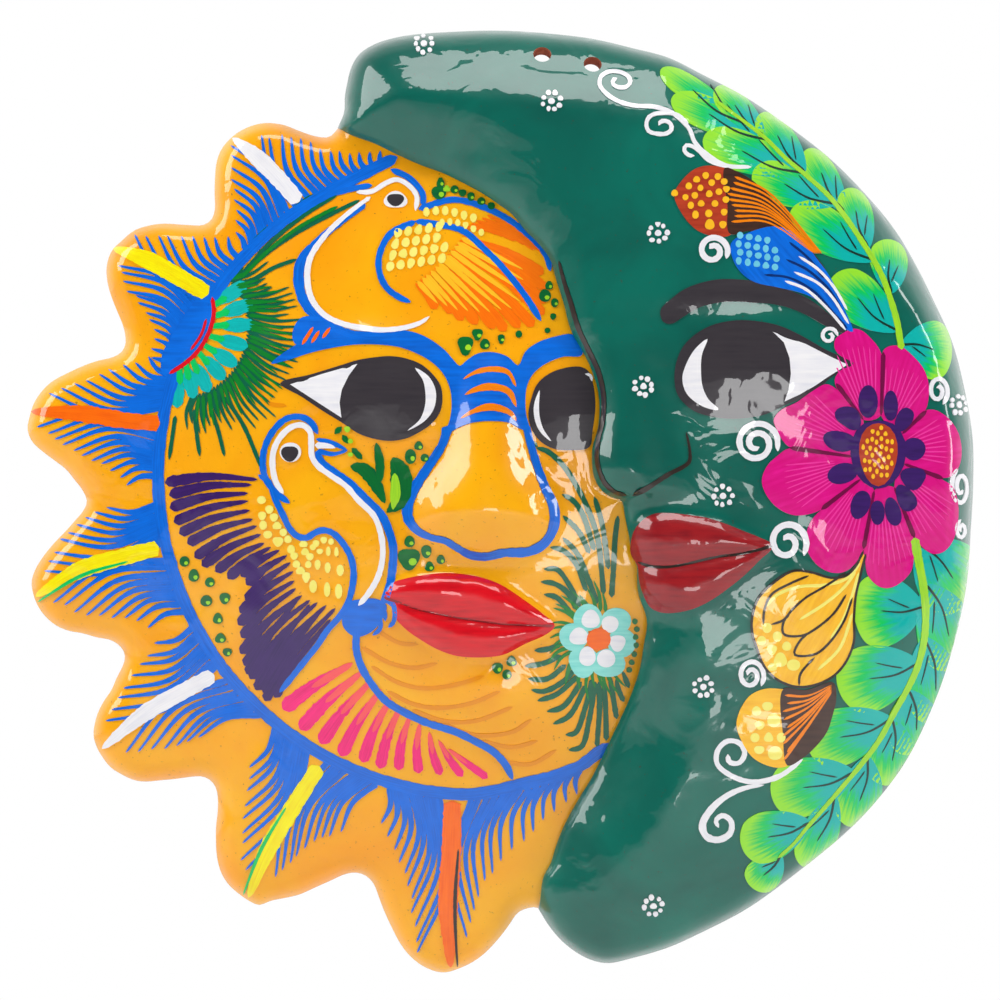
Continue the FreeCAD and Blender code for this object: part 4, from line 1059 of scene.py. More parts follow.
lines = Paint("sun_cheek_feather_lines", sun_clay, line_yellow_paint, 0.16)
lines.strokes((
    ((-40, -41), (-32, -45.5), (-26, -46)), ((-44, -47), (-35, -52), (-27, -53.5), (-20, -52)),
    ((-41, -53), (-33, -58), (-25, -60), (-15, -59), (-5, -56)),
    ((-36, -61), (-28, -65), (-20, -66.3), (-10, -65), (0, -61)),
    ((-28, -67), (-18, -70.5), (-8, -70.5), (4, -66)), ((-18, -71.5), (-8, -75), (4, -74), (10, -70)),
    ((-6, -77), (4, -79), (12, -77)), ((2, -84), (10, -84.5), (18, -80)),
    ((-68, 30), (-74, 31), (-78, 36)), ((-20, 62), (-12, 66), (-4, 66)), ((20, 50), (17, 46), (12, 44.5)),
), 1.3, ends=(3, 5))
lines.finish()

# ------------------------------------------------------------------ the sun's face

brows = Paint("sun_brows_and_nose", sun_clay, blue_paint, 0.34)
brows.blob(((-73, 43.5), (-65, 49.5), (-57, 52.5), (-50, 53.8), (-40, 53.3), (-30, 53.8), (-24, 52),
    (-18, 48), (-14.4, 44), (-12.8, 42.5), (-10.5, 44.3), (-7.2, 46.4), (-2.4, 46.9), (2.5, 45.4),
    (5.7, 42.7), (8, 47), (12, 50), (18, 52), (23, 52.6), (25.5, 50), (26, 46), (20, 45.5), (14, 43),
    (10.5, 40), (8.5, 36), (8, 31), (8.3, 27), (9.3, 22), (6.5, 22.5), (3, 24.4), (-3, 25), (-9, 24.4),
    (-14, 22.5), (-18, 20), (-16, 25), (-15.3, 30), (-15.8, 35), (-18, 40), (-22, 44), (-27, 46.8),
    (-32, 48.6), (-38, 49.4), (-45, 49.5), (-52, 48.7), (-60, 47), (-68, 44.5)))
brows.stroke(((-16.5, 23.5), (-18.2, 17.8), (-22.3, 11.2), (-26.6, 4.5), (-28.9, -0.5), (-29.2, -5.5),
    (-26.4, -9.5), (-21.5, -11.9), (-17.4, -12.8), (-13.7, -15), (-9.5, -17.3), (-4.5, -17.9), (1, -16.7),
    (9.5, -16.2), (14.2, -13.5), (17, -8.4), (17, -2.4), (14, 4.5), (11.4, 12), (9.6, 18), (8.2, 24)),
    (3.2, 2.9, 3.0, 3.2, 3.4, 3.3, 2.6, 2.0, 2.0, 2.2, 2.4, 2.5, 2.6, 3.0, 3.2, 3.2, 3.2, 2.8, 2.6, 2.4,
    2.4), ends=(0.6, 0.6))
brows.finish()
creases = Paint("sun_nose_creases", sun_clay, deep_orange_paint, 0.42)
creases.stroke(((-11.5, 38.3), (-8, 40.3), (-3, 41.4), (2.4, 40.5), (4.9, 36)), (0.5, 1.2, 1.8, 1.5, 0.8),
    ends=(3, 3))
creases.stroke(((-11, 33.3), (-8, 34.8), (-3, 35.8), (2.6, 34.3), (5, 29.5)), (0.5, 1.6, 2.4, 2.0, 0.8),
    ends=(3, 3))
creases.stroke(((-12.3, 25.8), (-8.6, 27.9), (-3, 29.4), (3, 27.6), (5, 25)), (0.5, 1.4, 2.4, 1.6, 0.8),
    ends=(3, 3))
creases.finish()

SUN_LEFT_EYE = ((-70, 37.2), (-60, 40), (-50, 43), (-45, 44.5), (-40, 45.3), (-35, 45.7), (-30, 45),
    (-25, 43), (-21.5, 40), (-19, 36.5), (-18.3, 33), (-19, 28), (-22, 24), (-26, 21.3), (-30, 19.5),
    (-35, 18.8), (-40, 19.5), (-45, 21.2), (-50, 24.5), (-57, 28.8), (-63, 32.8))
SUN_RIGHT_EYE = ((10.2, 33), (12, 37), (16, 40.3), (21, 42), (25.5, 42.3), (28, 41), (29.5, 37), (30.2, 30),
    (29.3, 22), (28.3, 16.8), (22, 15.8), (17, 16.3), (13, 18.5), (10.3, 22), (9, 27))
eyes = Paint("sun_eyes_dark", sun_clay, eye_dark_paint, 0.34)
eyes.blob(SUN_LEFT_EYE)
eyes.blob(SUN_RIGHT_EYE)
eyes.finish()
whites = Paint("sun_eye_whites", sun_clay, white_paint, 0.43)
whites.blob(((-66.8, 36.8), (-56, 40.2), (-45.3, 43.2), (-48, 39.5), (-50.2, 35), (-50.9, 31),
    (-50.3, 26.2), (-57, 30.5)), soft=False)
whites.blob(((-27, 41.9), (-23, 39.5), (-21, 36.5), (-20.3, 33.5), (-21, 29), (-24, 25), (-29.5, 22),
    (-25.5, 25.5), (-23.8, 30), (-23.7, 34), (-24.5, 38)))
whites.blob(((12.6, 34.8), (11, 31), (10.7, 28), (11.5, 24), (13.3, 21), (16.4, 18.5), (13.8, 22.5),
    (12.6, 26.5), (12.4, 30)))
whites.stroke(((27, 40), (28.6, 39.6), (29.2, 37.7)), 0.9)
whites.finish()

lips = Paint("sun_lips_red", sun_clay, red_paint, 0.34)
lips.blob(((-36.5, -30.5), (-34, -26.5), (-30, -25.2), (-25, -24.2), (-18, -23.4), (-12, -23.7),
    (-6, -24.8), (0, -27), (8, -32.3), (13.6, -36.5), (17.4, -40), (14.3, -42.7), (8, -45.5), (1.1, -49),
    (-5.8, -49.9), (-14, -49.4), (-20, -47.3), (-25, -44.5), (-30, -41), (-33.5, -37), (-34, -34)),
    spacing=1.2)
lips.finish()
parting = Paint("sun_lip_parting", sun_clay, dark_red_paint, 0.42)
parting.stroke(((-36.8, -30.9), (-32, -32.5), (-27, -34.5), (-20, -36.2), (-12, -37.6), (-5, -38.8),
    (3, -39.6), (16.8, -40)), 0.9, ends=(3, 3))
parting.finish()

# Clusters of berries: a dark dab with a lighter one low on its right.
SUN_BERRIES = ((-28.7, -13.2, 1.7), (-28.9, -18.6, 3.3), (-23.4, -16.3, 1.8), (-18.8, -18.9, 1.4),
    (-22.4, -21.2, 1.5), (-11, 49.2, 2.6), (-7.2, 52.7, 1.7), (-4.8, 49.5, 1.6), (0.4, 51.2, 1.3),
    (6, 52.7, 1.1), (15.1, 53.9, 0.9), (16.9, 58.4, 1.0), (17.4, 62.8, 1.3), (14.3, 65, 1.9),
    (15.6, 68.3, 1.3), (-28.4, 13.8, 2.0), (-25.8, 17.2, 1.4), (-23.9, 13.4, 1.3), (-0.8, -53.5, 1.7),
    (2.2, -55.6, 1.5), (3.7, -51.4, 1.6), (-19, 101.5, 1.4), (-19.5, 98.3, 2.2), (-14.5, 99.3, 1.3),
    (-12, 98.2, 1.2), (-9.3, 97, 1.3), (-6, 95.5, 1.3), (-2.8, 94, 1.2), (-101, -19.7, 1.6),
    (-98, -24.2, 1.8), (-92.8, -26.3, 1.5), (-94, -32.3, 1.8), (-88, -31.4, 1.7), (-90.3, -38, 1.6),
    (-89.5, -44.3, 1.6), (-87.3, -48.7, 1.4), (43.0, -38.7, 0.9), (43.6, -41.2, 0.9), (43.2, -43.7, 0.9),
    (43.4, -46.3, 0.9), (42.8, -49.2, 0.9), (42.0, -51.8, 0.9), (41.2, -54.2, 0.9))
berries = Paint("sun_berries", sun_clay, green_dot_paint, 0.38)
glints = Paint("sun_berry_lights", sun_clay, lime_paint, 0.46)
for x, z, radius in SUN_BERRIES:
    berries.dot(x, z, radius, radius * 1.08)
    if radius > 1.2:
        glints.dot(x + radius * 0.35, z - radius * 0.3, radius * 0.38)
berries.strokes((((-52.5, 21), (-50.3, 23.3)), ((-50, 20.7), (-48.3, 18)), ((-47, 16.5), (-43.8, 13))), 1.8)
berries.stroke(((-34, 13.5), (-31.5, 8), (-32, 0), (-36, -4)), (3.5, 6.6, 6.0, 1.5), ends=(1.5, 3))
berries.stroke(((-47.5, 10.8), (-43, 9.5), (-39.5, 5), (-36.5, -1)), (2.2, 4.2, 4.0, 1.6), ends=(1.5, 3))
berries.stroke(((-39.3, 18.2), (-38.2, 12), (-38, 5.5)), (1.6, 3.0, 1.6), ends=(2, 2))
glints.stroke(((-33.4, 8.5), (-33.2, 2), (-34, -3)), (2.0, 3.4, 1.6), ends=(2, 3))
glints.dots(((-48.5, 22.5, 1.0), (-47.5, 18.7, 0.8), (-47.5, 14.5, 0.8), (-17, 99.5, 1.1)))
berries.finish()
glints.finish()

cheek = Paint("cheek_flower_petals", sun_clay, mint_paint, 0.36)
cheek.dots(((28, -37.5, 4.5), (37, -38.5, 4.5), (38.8, -45.5, 4.6), (34.5, -52, 5), (26.5, -51.5, 4.8),
    (23.5, -43.5, 4.6)))
cheek.finish()
cheek = Paint("cheek_flower_whites", sun_clay, white_paint, 0.46)
cheek.dots(((28.8, -37.9, 2.9), (35, -39.5, 2.7), (37.4, -45.5, 2.6), (33.8, -50.5, 2.9),
    (27.8, -49.8, 2.9), (25.1, -43.4, 2.9)))
cheek.finish()
cheek = Paint("cheek_flower_heart", sun_clay, orange_paint, 0.52)
cheek.dot(31.4, -44.3, 3.7)
cheek.finish()
grass = Paint("sun_right_grass", sun_clay, grass_paint, 0.22)
grass.strokes((
    ((11.5, 16.6), (15, 15.5), (20, 11), (24, 5), (28, -3), (31, -12), (33, -30)), ((8, 19.5), (12, 17)),
    ((19.7, 1.8), (23, 0), (26, -4), (30, -16)), ((30, 1), (32.5, -8), (34.5, -22)),
    ((20, -5), (25, -10), (28.5, -17)),
    ((37.5, -5), (36.6, -12), (36.2, -20), (35.5, -31)), ((20, -12), (24.5, -17), (28, -25), (31, -33)),
    ((16, -15), (20, -16), (24, -20), (27.5, -29)), ((14, -22), (18, -22), (22, -27), (25.5, -34)),
    ((13, -26), (17, -26.5), (21, -29), (24.5, -35)), ((14, -30), (18, -31), (22.5, -36)),
    ((11, -48), (15, -47.5), (19.5, -46)), ((8, -53), (14, -52), (19.5, -49.5)),
    ((9, -57), (15, -57), (21, -52.5)), ((10, -60.5), (14, -61), (20, -58), (24, -54)),
    ((12, -64), (18, -62), (25, -56)), ((15, -67.5), (20, -66), (26, -58)),
    ((17, -71.5), (22, -69), (27.5, -59)),
    ((21, -75), (24, -74.5), (27, -67), (29.5, -57)), ((22, -80), (26, -79), (28.5, -70), (30.5, -58)),
    ((31.5, -58), (31.8, -66), (31, -79)), ((33, -57), (33.7, -66), (34, -77)),
    ((35, -56), (36.3, -64), (37.3, -70)),
    ((37, -57), (38, -61), (39.6, -64.5)), ((39, -54.5), (40, -57), (41.2, -60)),
), 1.7, ends=(4, 1))
grass.finish()

# ------------------------------------------------------------------ the moon's face

eyes = Paint("moon_eye_dark", moon_clay, eye_dark_paint, 0.34)
eyes.blob(((55.3, 39), (56, 44), (58, 48.5), (62, 52.5), (67, 55.3), (73, 56.8), (79, 57), (88, 55.5),
    (95, 52.5), (103, 48), (112.3, 43), (106, 39.5), (101, 35.5), (95, 32), (90, 30), (85, 27.5),
    (80, 26.3), (73, 25.8), (67, 26.5), (62, 28), (58.5, 30.5), (56, 34)))
eyes.finish()
whites = Paint("moon_eye_whites", moon_clay, white_paint, 0.43)
whites.blob(((65.8, 51), (62, 48), (59, 43), (57.8, 38.5), (59, 34), (62, 31), (66, 29), (69.5, 28.6),
    (66, 32), (64.2, 36), (63.7, 41), (64, 46)))
whites.blob(((86.6, 53.3), (90, 50), (91.8, 45), (92.2, 40), (91.5, 35), (90.2, 31.3), (95, 33.5),
    (100, 36.3), (104, 39), (110.5, 43), (105, 45.5), (97, 49.5)), soft=False)
whites.finish()
brow = Paint("moon_brow", moon_clay, eye_dark_paint, 0.34)
brow.blob(((51, 58), (51, 60.5), (54, 63.5), (58, 66.5), (63, 68.6), (69, 69.9), (75, 70), (80, 69.5),
    (86, 68.3), (92, 66.5), (98, 64), (103, 60.5), (108, 56), (110, 53), (104, 55.2), (98, 58.5), (92, 61),
    (86, 62.3), (80, 62.7), (75, 63), (69, 62.6), (63, 61), (58, 58), (54.5, 55.9), (52, 56.3)))
brow.finish()
profile = Paint("moon_profile_line", moon_clay, black_line_paint, 0.26)
profile.stroke(((18.8, 76), (20.3, 70), (22.6, 62.5), (25, 54.5), (28, 48), (31.2, 41), (32.8, 34),
    (33, 29), (32.4, 24), (31.2, 19), (30.8, 13), (31.8, 8.5), (33.6, 5), (36.5, 2.6), (40, 1.6)),
    (0.8, 1.1, 1.4, 1.4, 1.4, 1.4, 1.4, 1.4, 1.4, 1.3, 1.3, 1.3, 1.3, 1.2, 1.0), ends=(4, 3))
profile.stroke(((42, 1.5), (46, 3.5), (50, 6), (54, 8.5), (58, 10.5), (60, 12.2), (60.1, 16), (59, 21.5)),
    (1.2, 1.5, 1.5, 1.4, 1.3, 1.2, 0.9, 0.5), ends=(3, 5))
profile.finish()
lips = Paint("moon_lips_red", moon_clay, dark_red_paint, 0.34)
lips.blob(((41.8, -17), (41.9, -13), (43, -9.4), (45.5, -6.4), (49, -4.5), (54, -4.3), (60, -5), (66, -6),
    (72, -8), (77, -10), (82, -12), (86.5, -14.5), (82, -19), (77, -24), (72, -28), (67, -31.5), (62, -34),
    (56, -35.6), (51, -35.5), (48, -34), (45.4, -29), (44.4, -25), (44, -21)), spacing=1.2)
lips.finish()
parting = Paint("moon_lip_parting", moon_clay, black_line_paint, 0.43)
parting.stroke(((44, -19.5), (47, -20.8), (52, -21.3), (58, -20.5), (64, -19), (70, -17.8), (76, -17.2),
    (86, -14.6)), 1.1, ends=(4, 4))
parting.finish()

# ------------------------------------------------------------------ the magenta flower

FLOWER = (120.3, 14.8)
PETALS = (
    ((121.2, 27), (115.5, 25.5), (106.3, 37.5), (108, 41), (112.5, 43.2), (108, 46), (106.5, 48),
     (106.5, 51),
     (109, 53), (112, 54.5), (115, 54), (118.5, 51), (121, 47.5), (122, 43)),
    ((122, 47.5), (124, 49), (127.5, 49), (131, 46.5), (135, 42), (136.6, 37.5), (136.6, 32), (135.5, 28.5),
     (128, 21), (121.2, 27), (122, 40)),
    ((135.5, 28.5), (138.5, 28.8), (142, 27), (145.5, 23), (147.3, 18), (147, 12), (144.5, 8), (141.5, 7),
     (128.5, 11.5), (128, 21)),
    ((141, 6.5), (144.5, 4), (146.3, -2), (146, -8), (144.5, -13), (141.5, -16.5), (138, -17.2),
     (134, -14.5),
     (131.5, -11.5), (125.5, 4), (128.5, 11.5)),
    ((131.5, -11.5), (131.8, -18), (131, -22.5), (128, -26), (124, -28), (120.5, -27.5), (117, -24),
     (116, -19),
     (115.5, -15.5), (119, 3), (125.5, 4)),
    ((115.5, -15.5), (113, -20), (109.5, -22.8), (105, -23), (100.5, -20.5), (97.5, -16), (97, -12),
     (98.5, -7),
     (102, -3), (114.5, 6.5), (119, 3)),
    ((98, -4.5), (93, -4.8), (88, -2.5), (84.5, 1.5), (83, 6), (84.5, 10.5), (88, 14), (92, 16.5),
     (112, 13.8),
     (114.5, 6.5), (102, -3)),
    ((90, 18.5), (88, 22), (86.8, 25.5), (89, 28.5), (94, 31), (99, 34.5), (103.5, 36.8), (106.5, 35.5),
     (115.5, 25.5), (112, 13.8), (92, 16.8)),
)
flower = Paint("magenta_flower_petals", moon_clay, magenta_paint, 0.36)
streaks = Paint("magenta_flower_streaks", moon_clay, petal_streak_paint, 0.43)
folds = Paint("magenta_flower_folds", moon_clay, petal_fold_paint, 0.46)
for petal in PETALS:
    middle = np.mean(petal, axis=0)
    heading = math.degrees(math.atan2(middle[1] - FLOWER[1], middle[0] - FLOWER[0]))
    flower.blob(petal, grain=heading)
    for share in np.linspace(-0.8, 0.8, 9):
        aside = np.array((-math.sin(math.radians(heading)), math.cos(math.radians(heading))))
        inner = np.array(FLOWER) + 0.50 * (middle - FLOWER) + aside * share * 3.4
        outer = middle + aside * share * 9.0 + (middle - FLOWER) * (0.14 - 0.12 * share * share)
        streaks.stroke((outer, (inner + outer) / 2, inner), (0.3, 0.5, 0.25), ends=(5, 5))
FOLDS = (
    ((106.8, 37), (115.5, 25.5)), ((122, 47), (121.2, 27)), ((136, 28.5), (128, 21)),
    ((141.3, 6.8), (128.5, 11.5)),
    ((132, -12), (125.5, 4)), ((115.5, -15.5), (119, 3)), ((102, -3), (114.5, 6.5)),
    ((92, 16.6), (112, 13.8)),
)
for fold in FOLDS:
    folds.stroke(fold, (1.6, 0.8), ends=(3, 2))
flower.finish()
streaks.finish()
folds.finish()
inner = Paint("magenta_flower_purple_petals", moon_clay, purple_paint, 0.52)
inner.dots(((117, 31.3, 3.1, 5.3), (124.3, 30, 2.3, 5), (128.6, 25.6, 2.5, 4.5, -30),
    (131.8, 16.2, 3.8, 3.6), (131.5, 7, 4, 3.6), (129.2, 0.5, 3.0, 4.5, 30), (125, -3.8, 2.6, 4.5, 15),
    (120, -4, 2.2, 4.2), (114.5, -1.5, 3.0, 4.8, -20), (108.8, 8.4, 4.8, 3.4, 15),
    (107.9, 18.7, 5.2, 3.4, -12), (110.8, 26.2, 4.2, 3.6, -35)))
inner.dot(FLOWER[0], FLOWER[1], 8.2, 12.0)
inner.finish()
heart = Paint("magenta_flower_heart", moon_clay, red_brown_paint, 0.60)
heart.dot(FLOWER[0], FLOWER[1], 6.3, 9.9)
heart.finish()
SEED_COUNT = 34
GOLDEN_ANGLE = 2.39996
seeds = Paint("flower_and_bud_seeds", moon_clay, bud_yellow_paint, 0.68)
for k in range(SEED_COUNT):
    turn = k * GOLDEN_ANGLE
    reach = 0.92 * math.sqrt((k + 0.5) / SEED_COUNT)
    seeds.dot(FLOWER[0] + 5.8 * reach * math.cos(turn), FLOWER[1] + 9.2 * reach * math.sin(turn), 0.62, 0.8)

# ------------------------------------------------------------------ the buds

bud = Paint("upper_bud_red", moon_clay, red_brown_paint, 0.36)
bud.blob(((55.4, 97), (58, 101.8), (62, 105.3), (66, 106.4), (72, 105.6), (75, 104), (74.5, 92),
    (73.5, 84.5), (69, 83.6), (63, 85.5), (58.5, 90)))
bud.finish()
bud = Paint("upper_bud_brown", moon_clay, brown_paint, 0.38)
bud.blob(((71.5, 105.7), (76, 104.3), (80, 102), (86, 96.8), (92, 90), (98, 81), (104, 72.5), (97, 77),
    (89, 82.6), (80, 85.6), (73, 84.6), (72.3, 94)))
bud.finish()
hairs = Paint("upper_bud_hairs", moon_clay, deep_orange_paint, 0.45)
for place in range(9):
    start = (73.5 + 1.2 * math.sin(place), 88.5 + place * 1.8)
    hairs.stroke((start, ((start[0] + 96) / 2, (start[1] + 84) / 2 + 2.2 + 0.3 * place),
                  (100 + place * 0.3, 78.5)),
                 (0.9, 0.6, 0.25), ends=(3, 5))
hairs.finish()
seeds.dots(((55.5, 97.5, 1.1), (62.5, 101.9, 1.1), (65.4, 103.2, 1.1), (69.3, 102.9, 1.1),
    (71.3, 101.3, 1.1), (67.3, 100.9, 1.1), (60, 99.8, 1.1), (63.7, 99.2, 1.0), (72, 98.9, 1.1),
    (66.5, 97.3, 1.1), (69.6, 98, 1.1), (61.9, 96.8, 1.1), (58.9, 96.2, 1.0), (71.8, 95.5, 1.1),
    (63.9, 94.2, 1.1), (60.6, 93.6, 1.1), (68.3, 94.2, 1.1), (62.1, 90.6, 1.2), (66.3, 91, 1.2),
    (71.2, 91.5, 1.1), (66.6, 87.5, 1.6), (70.8, 87.5, 1.2)))
bud = Paint("blue_bud", moon_clay, blue_paint, 0.40)
bud.blob(((73.4, 81.6), (79, 85), (88, 87), (95, 84), (101, 76.5), (105, 71), (110, 60), (112.3, 53.4),
    (109, 55), (105, 59.5), (100, 64), (95, 66), (88, 67.5), (80, 69.5), (74.8, 74.7)), grain=-50)
bud.finish()
veins = Paint("blue_bud_whites", moon_clay, white_paint, 0.48)
veins.strokes((((90.5, 69.5), (97, 67), (104, 61), (110, 54)), ((93.5, 72.5), (101, 69), (106, 64),
    (111, 56)), ((95, 77.5), (101, 73.5), (106, 68), (110.5, 60.5))), 0.9, ends=(5, 6))
veins.finish()
veins = Paint("blue_bud_darks", moon_clay, deep_blue_paint, 0.46)
veins.strokes((((84, 71.5), (92, 70.5), (100, 66), (106, 59.5), (110.5, 54.5)),
    ((91, 76.5), (98, 73), (104.5, 67), (109, 60)), ((92, 82), (98, 77), (103, 70.5))), 0.8, ends=(4, 6))
veins.finish()
pips = Paint("blue_bud_dots", moon_clay, light_blue_paint, 0.50)
for place in range(19):
    row = place // 4
    pips.dot(75.8 + 2.9 * row + 0.5 * (place % 2), 76.0 + 2.7 * (place % 4) - 0.5 * row, 1.05, 1.15)
pips.finish()
bud = Paint("yellow_bud", moon_clay, bud_yellow_paint, 0.38)
bud.blob(((116.2, -16.5), (113, -21), (110, -24), (105, -24.7), (99, -23), (93, -22.5), (87, -26),
    (82, -31), (80, -37), (80, -42), (81.5, -47), (84, -53), (88, -57), (94, -59.3), (100, -58.8),
    (106, -56), (110, -51.5), (112.5, -45), (112.5, -38), (113, -31), (114.5, -24)), grain=60)
bud.finish()
bud = Paint("ochre_bud", moon_clay, bud_yellow_paint, 0.38)
bud.blob(((75.1, -70.6), (79, -62.5), (84, -60), (89, -60), (94, -61), (95, -72), (93, -83.5),
    (88.7, -85.2), (81, -82.4), (76.9, -76.9)))
bud.finish()
bud = Paint("ochre_bud_brown", moon_clay, brown_paint, 0.40)
bud.blob(((90, -60), (97, -60.4), (106, -58), (107, -63), (106, -68), (104, -74), (100, -79), (96.5, -82),
    (91.5, -84.5), (90, -75)))
bud.finish()
hairs = Paint("ochre_bud_hairs", moon_clay, deep_orange_paint, 0.47)
for place in range(9):
    start = (90.5 + 0.8 * math.sin(2 * place), -62 - place * 2.6)
    hairs.stroke((start, ((start[0] + 105) / 2, (start[1] - 60) / 2 - 1.2), (105.5, -58.8 - 0.3 * place)),
        (0.9, 0.6, 0.3), ends=(3, 5))
hairs.finish()
darks = Paint("yellow_bud_petal_lines", moon_clay, black_line_paint, 0.47)
darks.strokes((
    ((115.5, -16), (113, -21), (110, -24), (105, -24.7), (99, -23), (93, -22.5), (87, -26), (82, -31),
     (80, -37),
     (80, -42), (81.5, -47), (84, -53), (88, -57), (94, -59.3), (100, -58.8), (106, -56), (110, -51.5),
     (112.5, -45), (112.5, -38), (113, -31), (114.5, -24), (116.3, -17)),
    ((83.5, -39.5), (83.8, -35), (86, -30), (92, -26.5), (98, -24)),
    ((86, -39.5), (90, -38), (92.5, -35), (97, -31), (103, -27.5), (110, -23)),
    ((92, -36), (90, -38.5), (90, -42.5), (96, -43), (100, -41), (106, -36), (110, -30)),
    ((98, -42), (95, -45), (93.5, -49), (100, -49), (104, -46), (109, -39), (112, -31)),
    ((95, -59), (95.3, -55.5), (98, -52), (100, -50)),
), 0.75, ends=(4, 5))
darks.finish()
lights = Paint("yellow_bud_lights", moon_clay, pale_yellow_paint, 0.45)
lights.strokes((((114.5, -20), (110, -25), (103, -27), (95, -27.5), (88, -30), (84, -34)),
    ((113, -23), (109, -28), (103, -33), (95, -38)), ((114, -23), (112, -30), (109, -38), (105, -44)),
    ((112, -36), (108, -47), (101, -54))), 1.0, ends=(5, 6))
lights.dots(((84.7, -40.5, 1.6), (83, -44.6, 1.5), (88, -43.3, 1.6), (91, -46.4, 1.5), (86.3, -47.5, 1.6),
    (89, -50.8, 2.2), (93.2, -52.4, 2.0), (86.5, -53, 1.4), (81.5, -67, 1.5), (85, -65.5, 1.6),
    (87, -70, 2.2), (82.5, -71.5, 1.5), (81, -75.5, 1.5), (85.4, -75.5, 1.5), (89.4, -75.5, 1.5),
    (82.4, -79.4, 1.5), (87.5, -80.5, 2.3)))
lights.finish()
seeds.finish()

# ------------------------------------------------------------------ the leaf garlands

UPPER_STEM = ((69.2, 127.7), (80, 119.5), (85, 115.5), (92, 108.5), (98, 103.5), (105, 97), (110, 90.5),
    (115, 83), (118.5, 77.5), (122, 71), (124.5, 64), (126.5, 57), (127.5, 51), (128, 48))
LOWER_STEM = ((132, -12), (133.5, -20), (135, -28), (135.7, -36), (135.3, -45), (133.5, -53), (130.5, -60),
    (126, -68), (121, -77), (115, -85), (110, -91), (104, -98), (98, -105), (94, -110), (89, -114.5))
# Each leaf: its root on the stem, its tip, and its width.
UPPER_LEAVES = (
    ((78, 120.5), (51.5, 138), 7.5), ((86, 115), (54.8, 128.5), 10), ((97, 104.5), (64.8, 115.5), 12),
    ((107, 94.5), (80.5, 104.5), 12), ((119, 76.5), (92.8, 92.5), 13), ((126.6, 54), (105.8, 71), 14),
    ((84.5, 116.5), (69.5, 132.6), 9), ((97.5, 105), (83.5, 124), 10), ((110, 92), (98.5, 112.6), 9.5),
    ((117.5, 80.5), (111.5, 100), 10), ((125, 66), (124, 83.5), 11.5), ((127.9, 49.5), (145, 47), 17),
)
LOWER_LEAVES = (
    ((135, -34), (112.6, -36), 21), ((133.8, -52), (107.6, -60), 19), ((125, -70), (98, -79), 16.5),
    ((113, -87), (86.5, -94.5), 17), ((99, -103), (77, -110.5), 15), ((90, -113.5), (81, -124.5), 11),
    ((133.2, -14), (152, -32), 22), ((136, -27), (149, -54), 19), ((135.5, -44), (143, -72), 18),
    ((131, -61), (135.5, -82), 17), ((125.5, -70), (126, -92), 15), ((117.5, -82), (114, -105.5), 14),
    ((107, -94.5), (98.5, -118.5), 12),
)
leaves = Paint("garland_leaves", moon_clay, garland_paint, 0.24)


def leaf(root, tip, width):
    """A leaf brushed from its root on the stem to its rounded tip."""
    root = np.array(root, float)
    tip = np.array(tip, float)
    along = tip - root
    length = np.linalg.norm(along)
    aside = np.array((-along[1], along[0])) / length
    outline = []
    for share, side in ((0.0, 0.05), (0.18, 0.32), (0.42, 0.50), (0.66, 0.56), (0.86, 0.47), (0.97, 0.24),
                        (1.0, 0.0),
                        (0.97, -0.24), (0.86, -0.47), (0.66, -0.56), (0.42, -0.50), (0.18, -0.32),
                        (0.0, -0.05)):
        outline.append(root + along * share + aside * side * width)
    loop = counter_clockwise(smooth(outline, 1.0, closed=True))
    plan, faces = triangulate([loop], inside_points(loop, 1.6, 0.9))
    reach = (plan - root) @ along / length ** 2
    lean = (plan - root) @ aside / width
    marks = np.stack((lean / (0.35 + 0.65 * np.maximum(reach, 0.0)) + leaves.order,
                      reach + 0.9 * lean ** 2), axis=1)
    leaves.add_layer(plan, faces, marks)


for row in UPPER_LEAVES + LOWER_LEAVES:
    leaf(*row)
leaves.finish()
stems = Paint("garland_stems", moon_clay, lime_paint, 0.42)
stems.stroke(UPPER_STEM, np.linspace(1.1, 2.2, len(UPPER_STEM)), ends=(4, 1))
stems.stroke(LOWER_STEM, np.linspace(2.8, 1.0, len(LOWER_STEM)), ends=(1, 4))
stems.finish()
veins = Paint("garland_veins", moon_clay, dark_line_paint, 0.36)
for root, tip, width in UPPER_LEAVES + LOWER_LEAVES:
    root = np.array(root, float)
    along = np.array(tip, float) - root
    aside = np.array((-along[1], along[0]))
    veins.stroke((root, root + 0.3 * along + 0.05 * aside, root + 0.62 * along), (0.8, 0.6, 0.3),
                 ends=(1, 6))
    veins.stroke((root + 0.2 * along, root + 0.34 * along - 0.07 * aside,
                  root + 0.5 * along - 0.16 * aside),
                 (0.5, 0.45, 0.25), ends=(1, 6))
veins.finish()

# ------------------------------------------------------------------ white scrolls and dot flowers

scrolls = Paint("white_scrolls", moon_clay, white_paint, 0.36)
scrolls.stroke(((80, 106), (72, 106.5), (66, 110), (62, 114), (60.5, 118), (58, 121), (54, 124),
    (49, 125.4), (43, 125.7), (38, 127), (34, 129.5), (31.8, 132.5), (32.3, 135.3), (35, 137),
    (38.5, 136.8), (41, 135.4), (41.6, 133.4), (40.3, 131.9), (38, 131.7), (36.2, 132.6), (36, 134),
    (37.4, 134.8)), 1.3, ends=(5, 2))
scrolls.stroke(((60, 120), (56, 123), (50, 123.2), (47.5, 122), (46.6, 119.8), (47.3, 117.5), (50, 116.6),
    (53, 116.7), (54.6, 118), (54.3, 119.9), (52.8, 120.8), (51, 120.4), (50.5, 119.3)), 1.3, ends=(4, 2))
scrolls.stroke(((73, 106), (69, 107), (66, 108.4), (63.5, 111), (61.3, 112.6), (59.2, 112.9), (58.6, 111.4),
    (60.2, 109.7), (61.9, 109.6)), 1.2, ends=(4, 2))
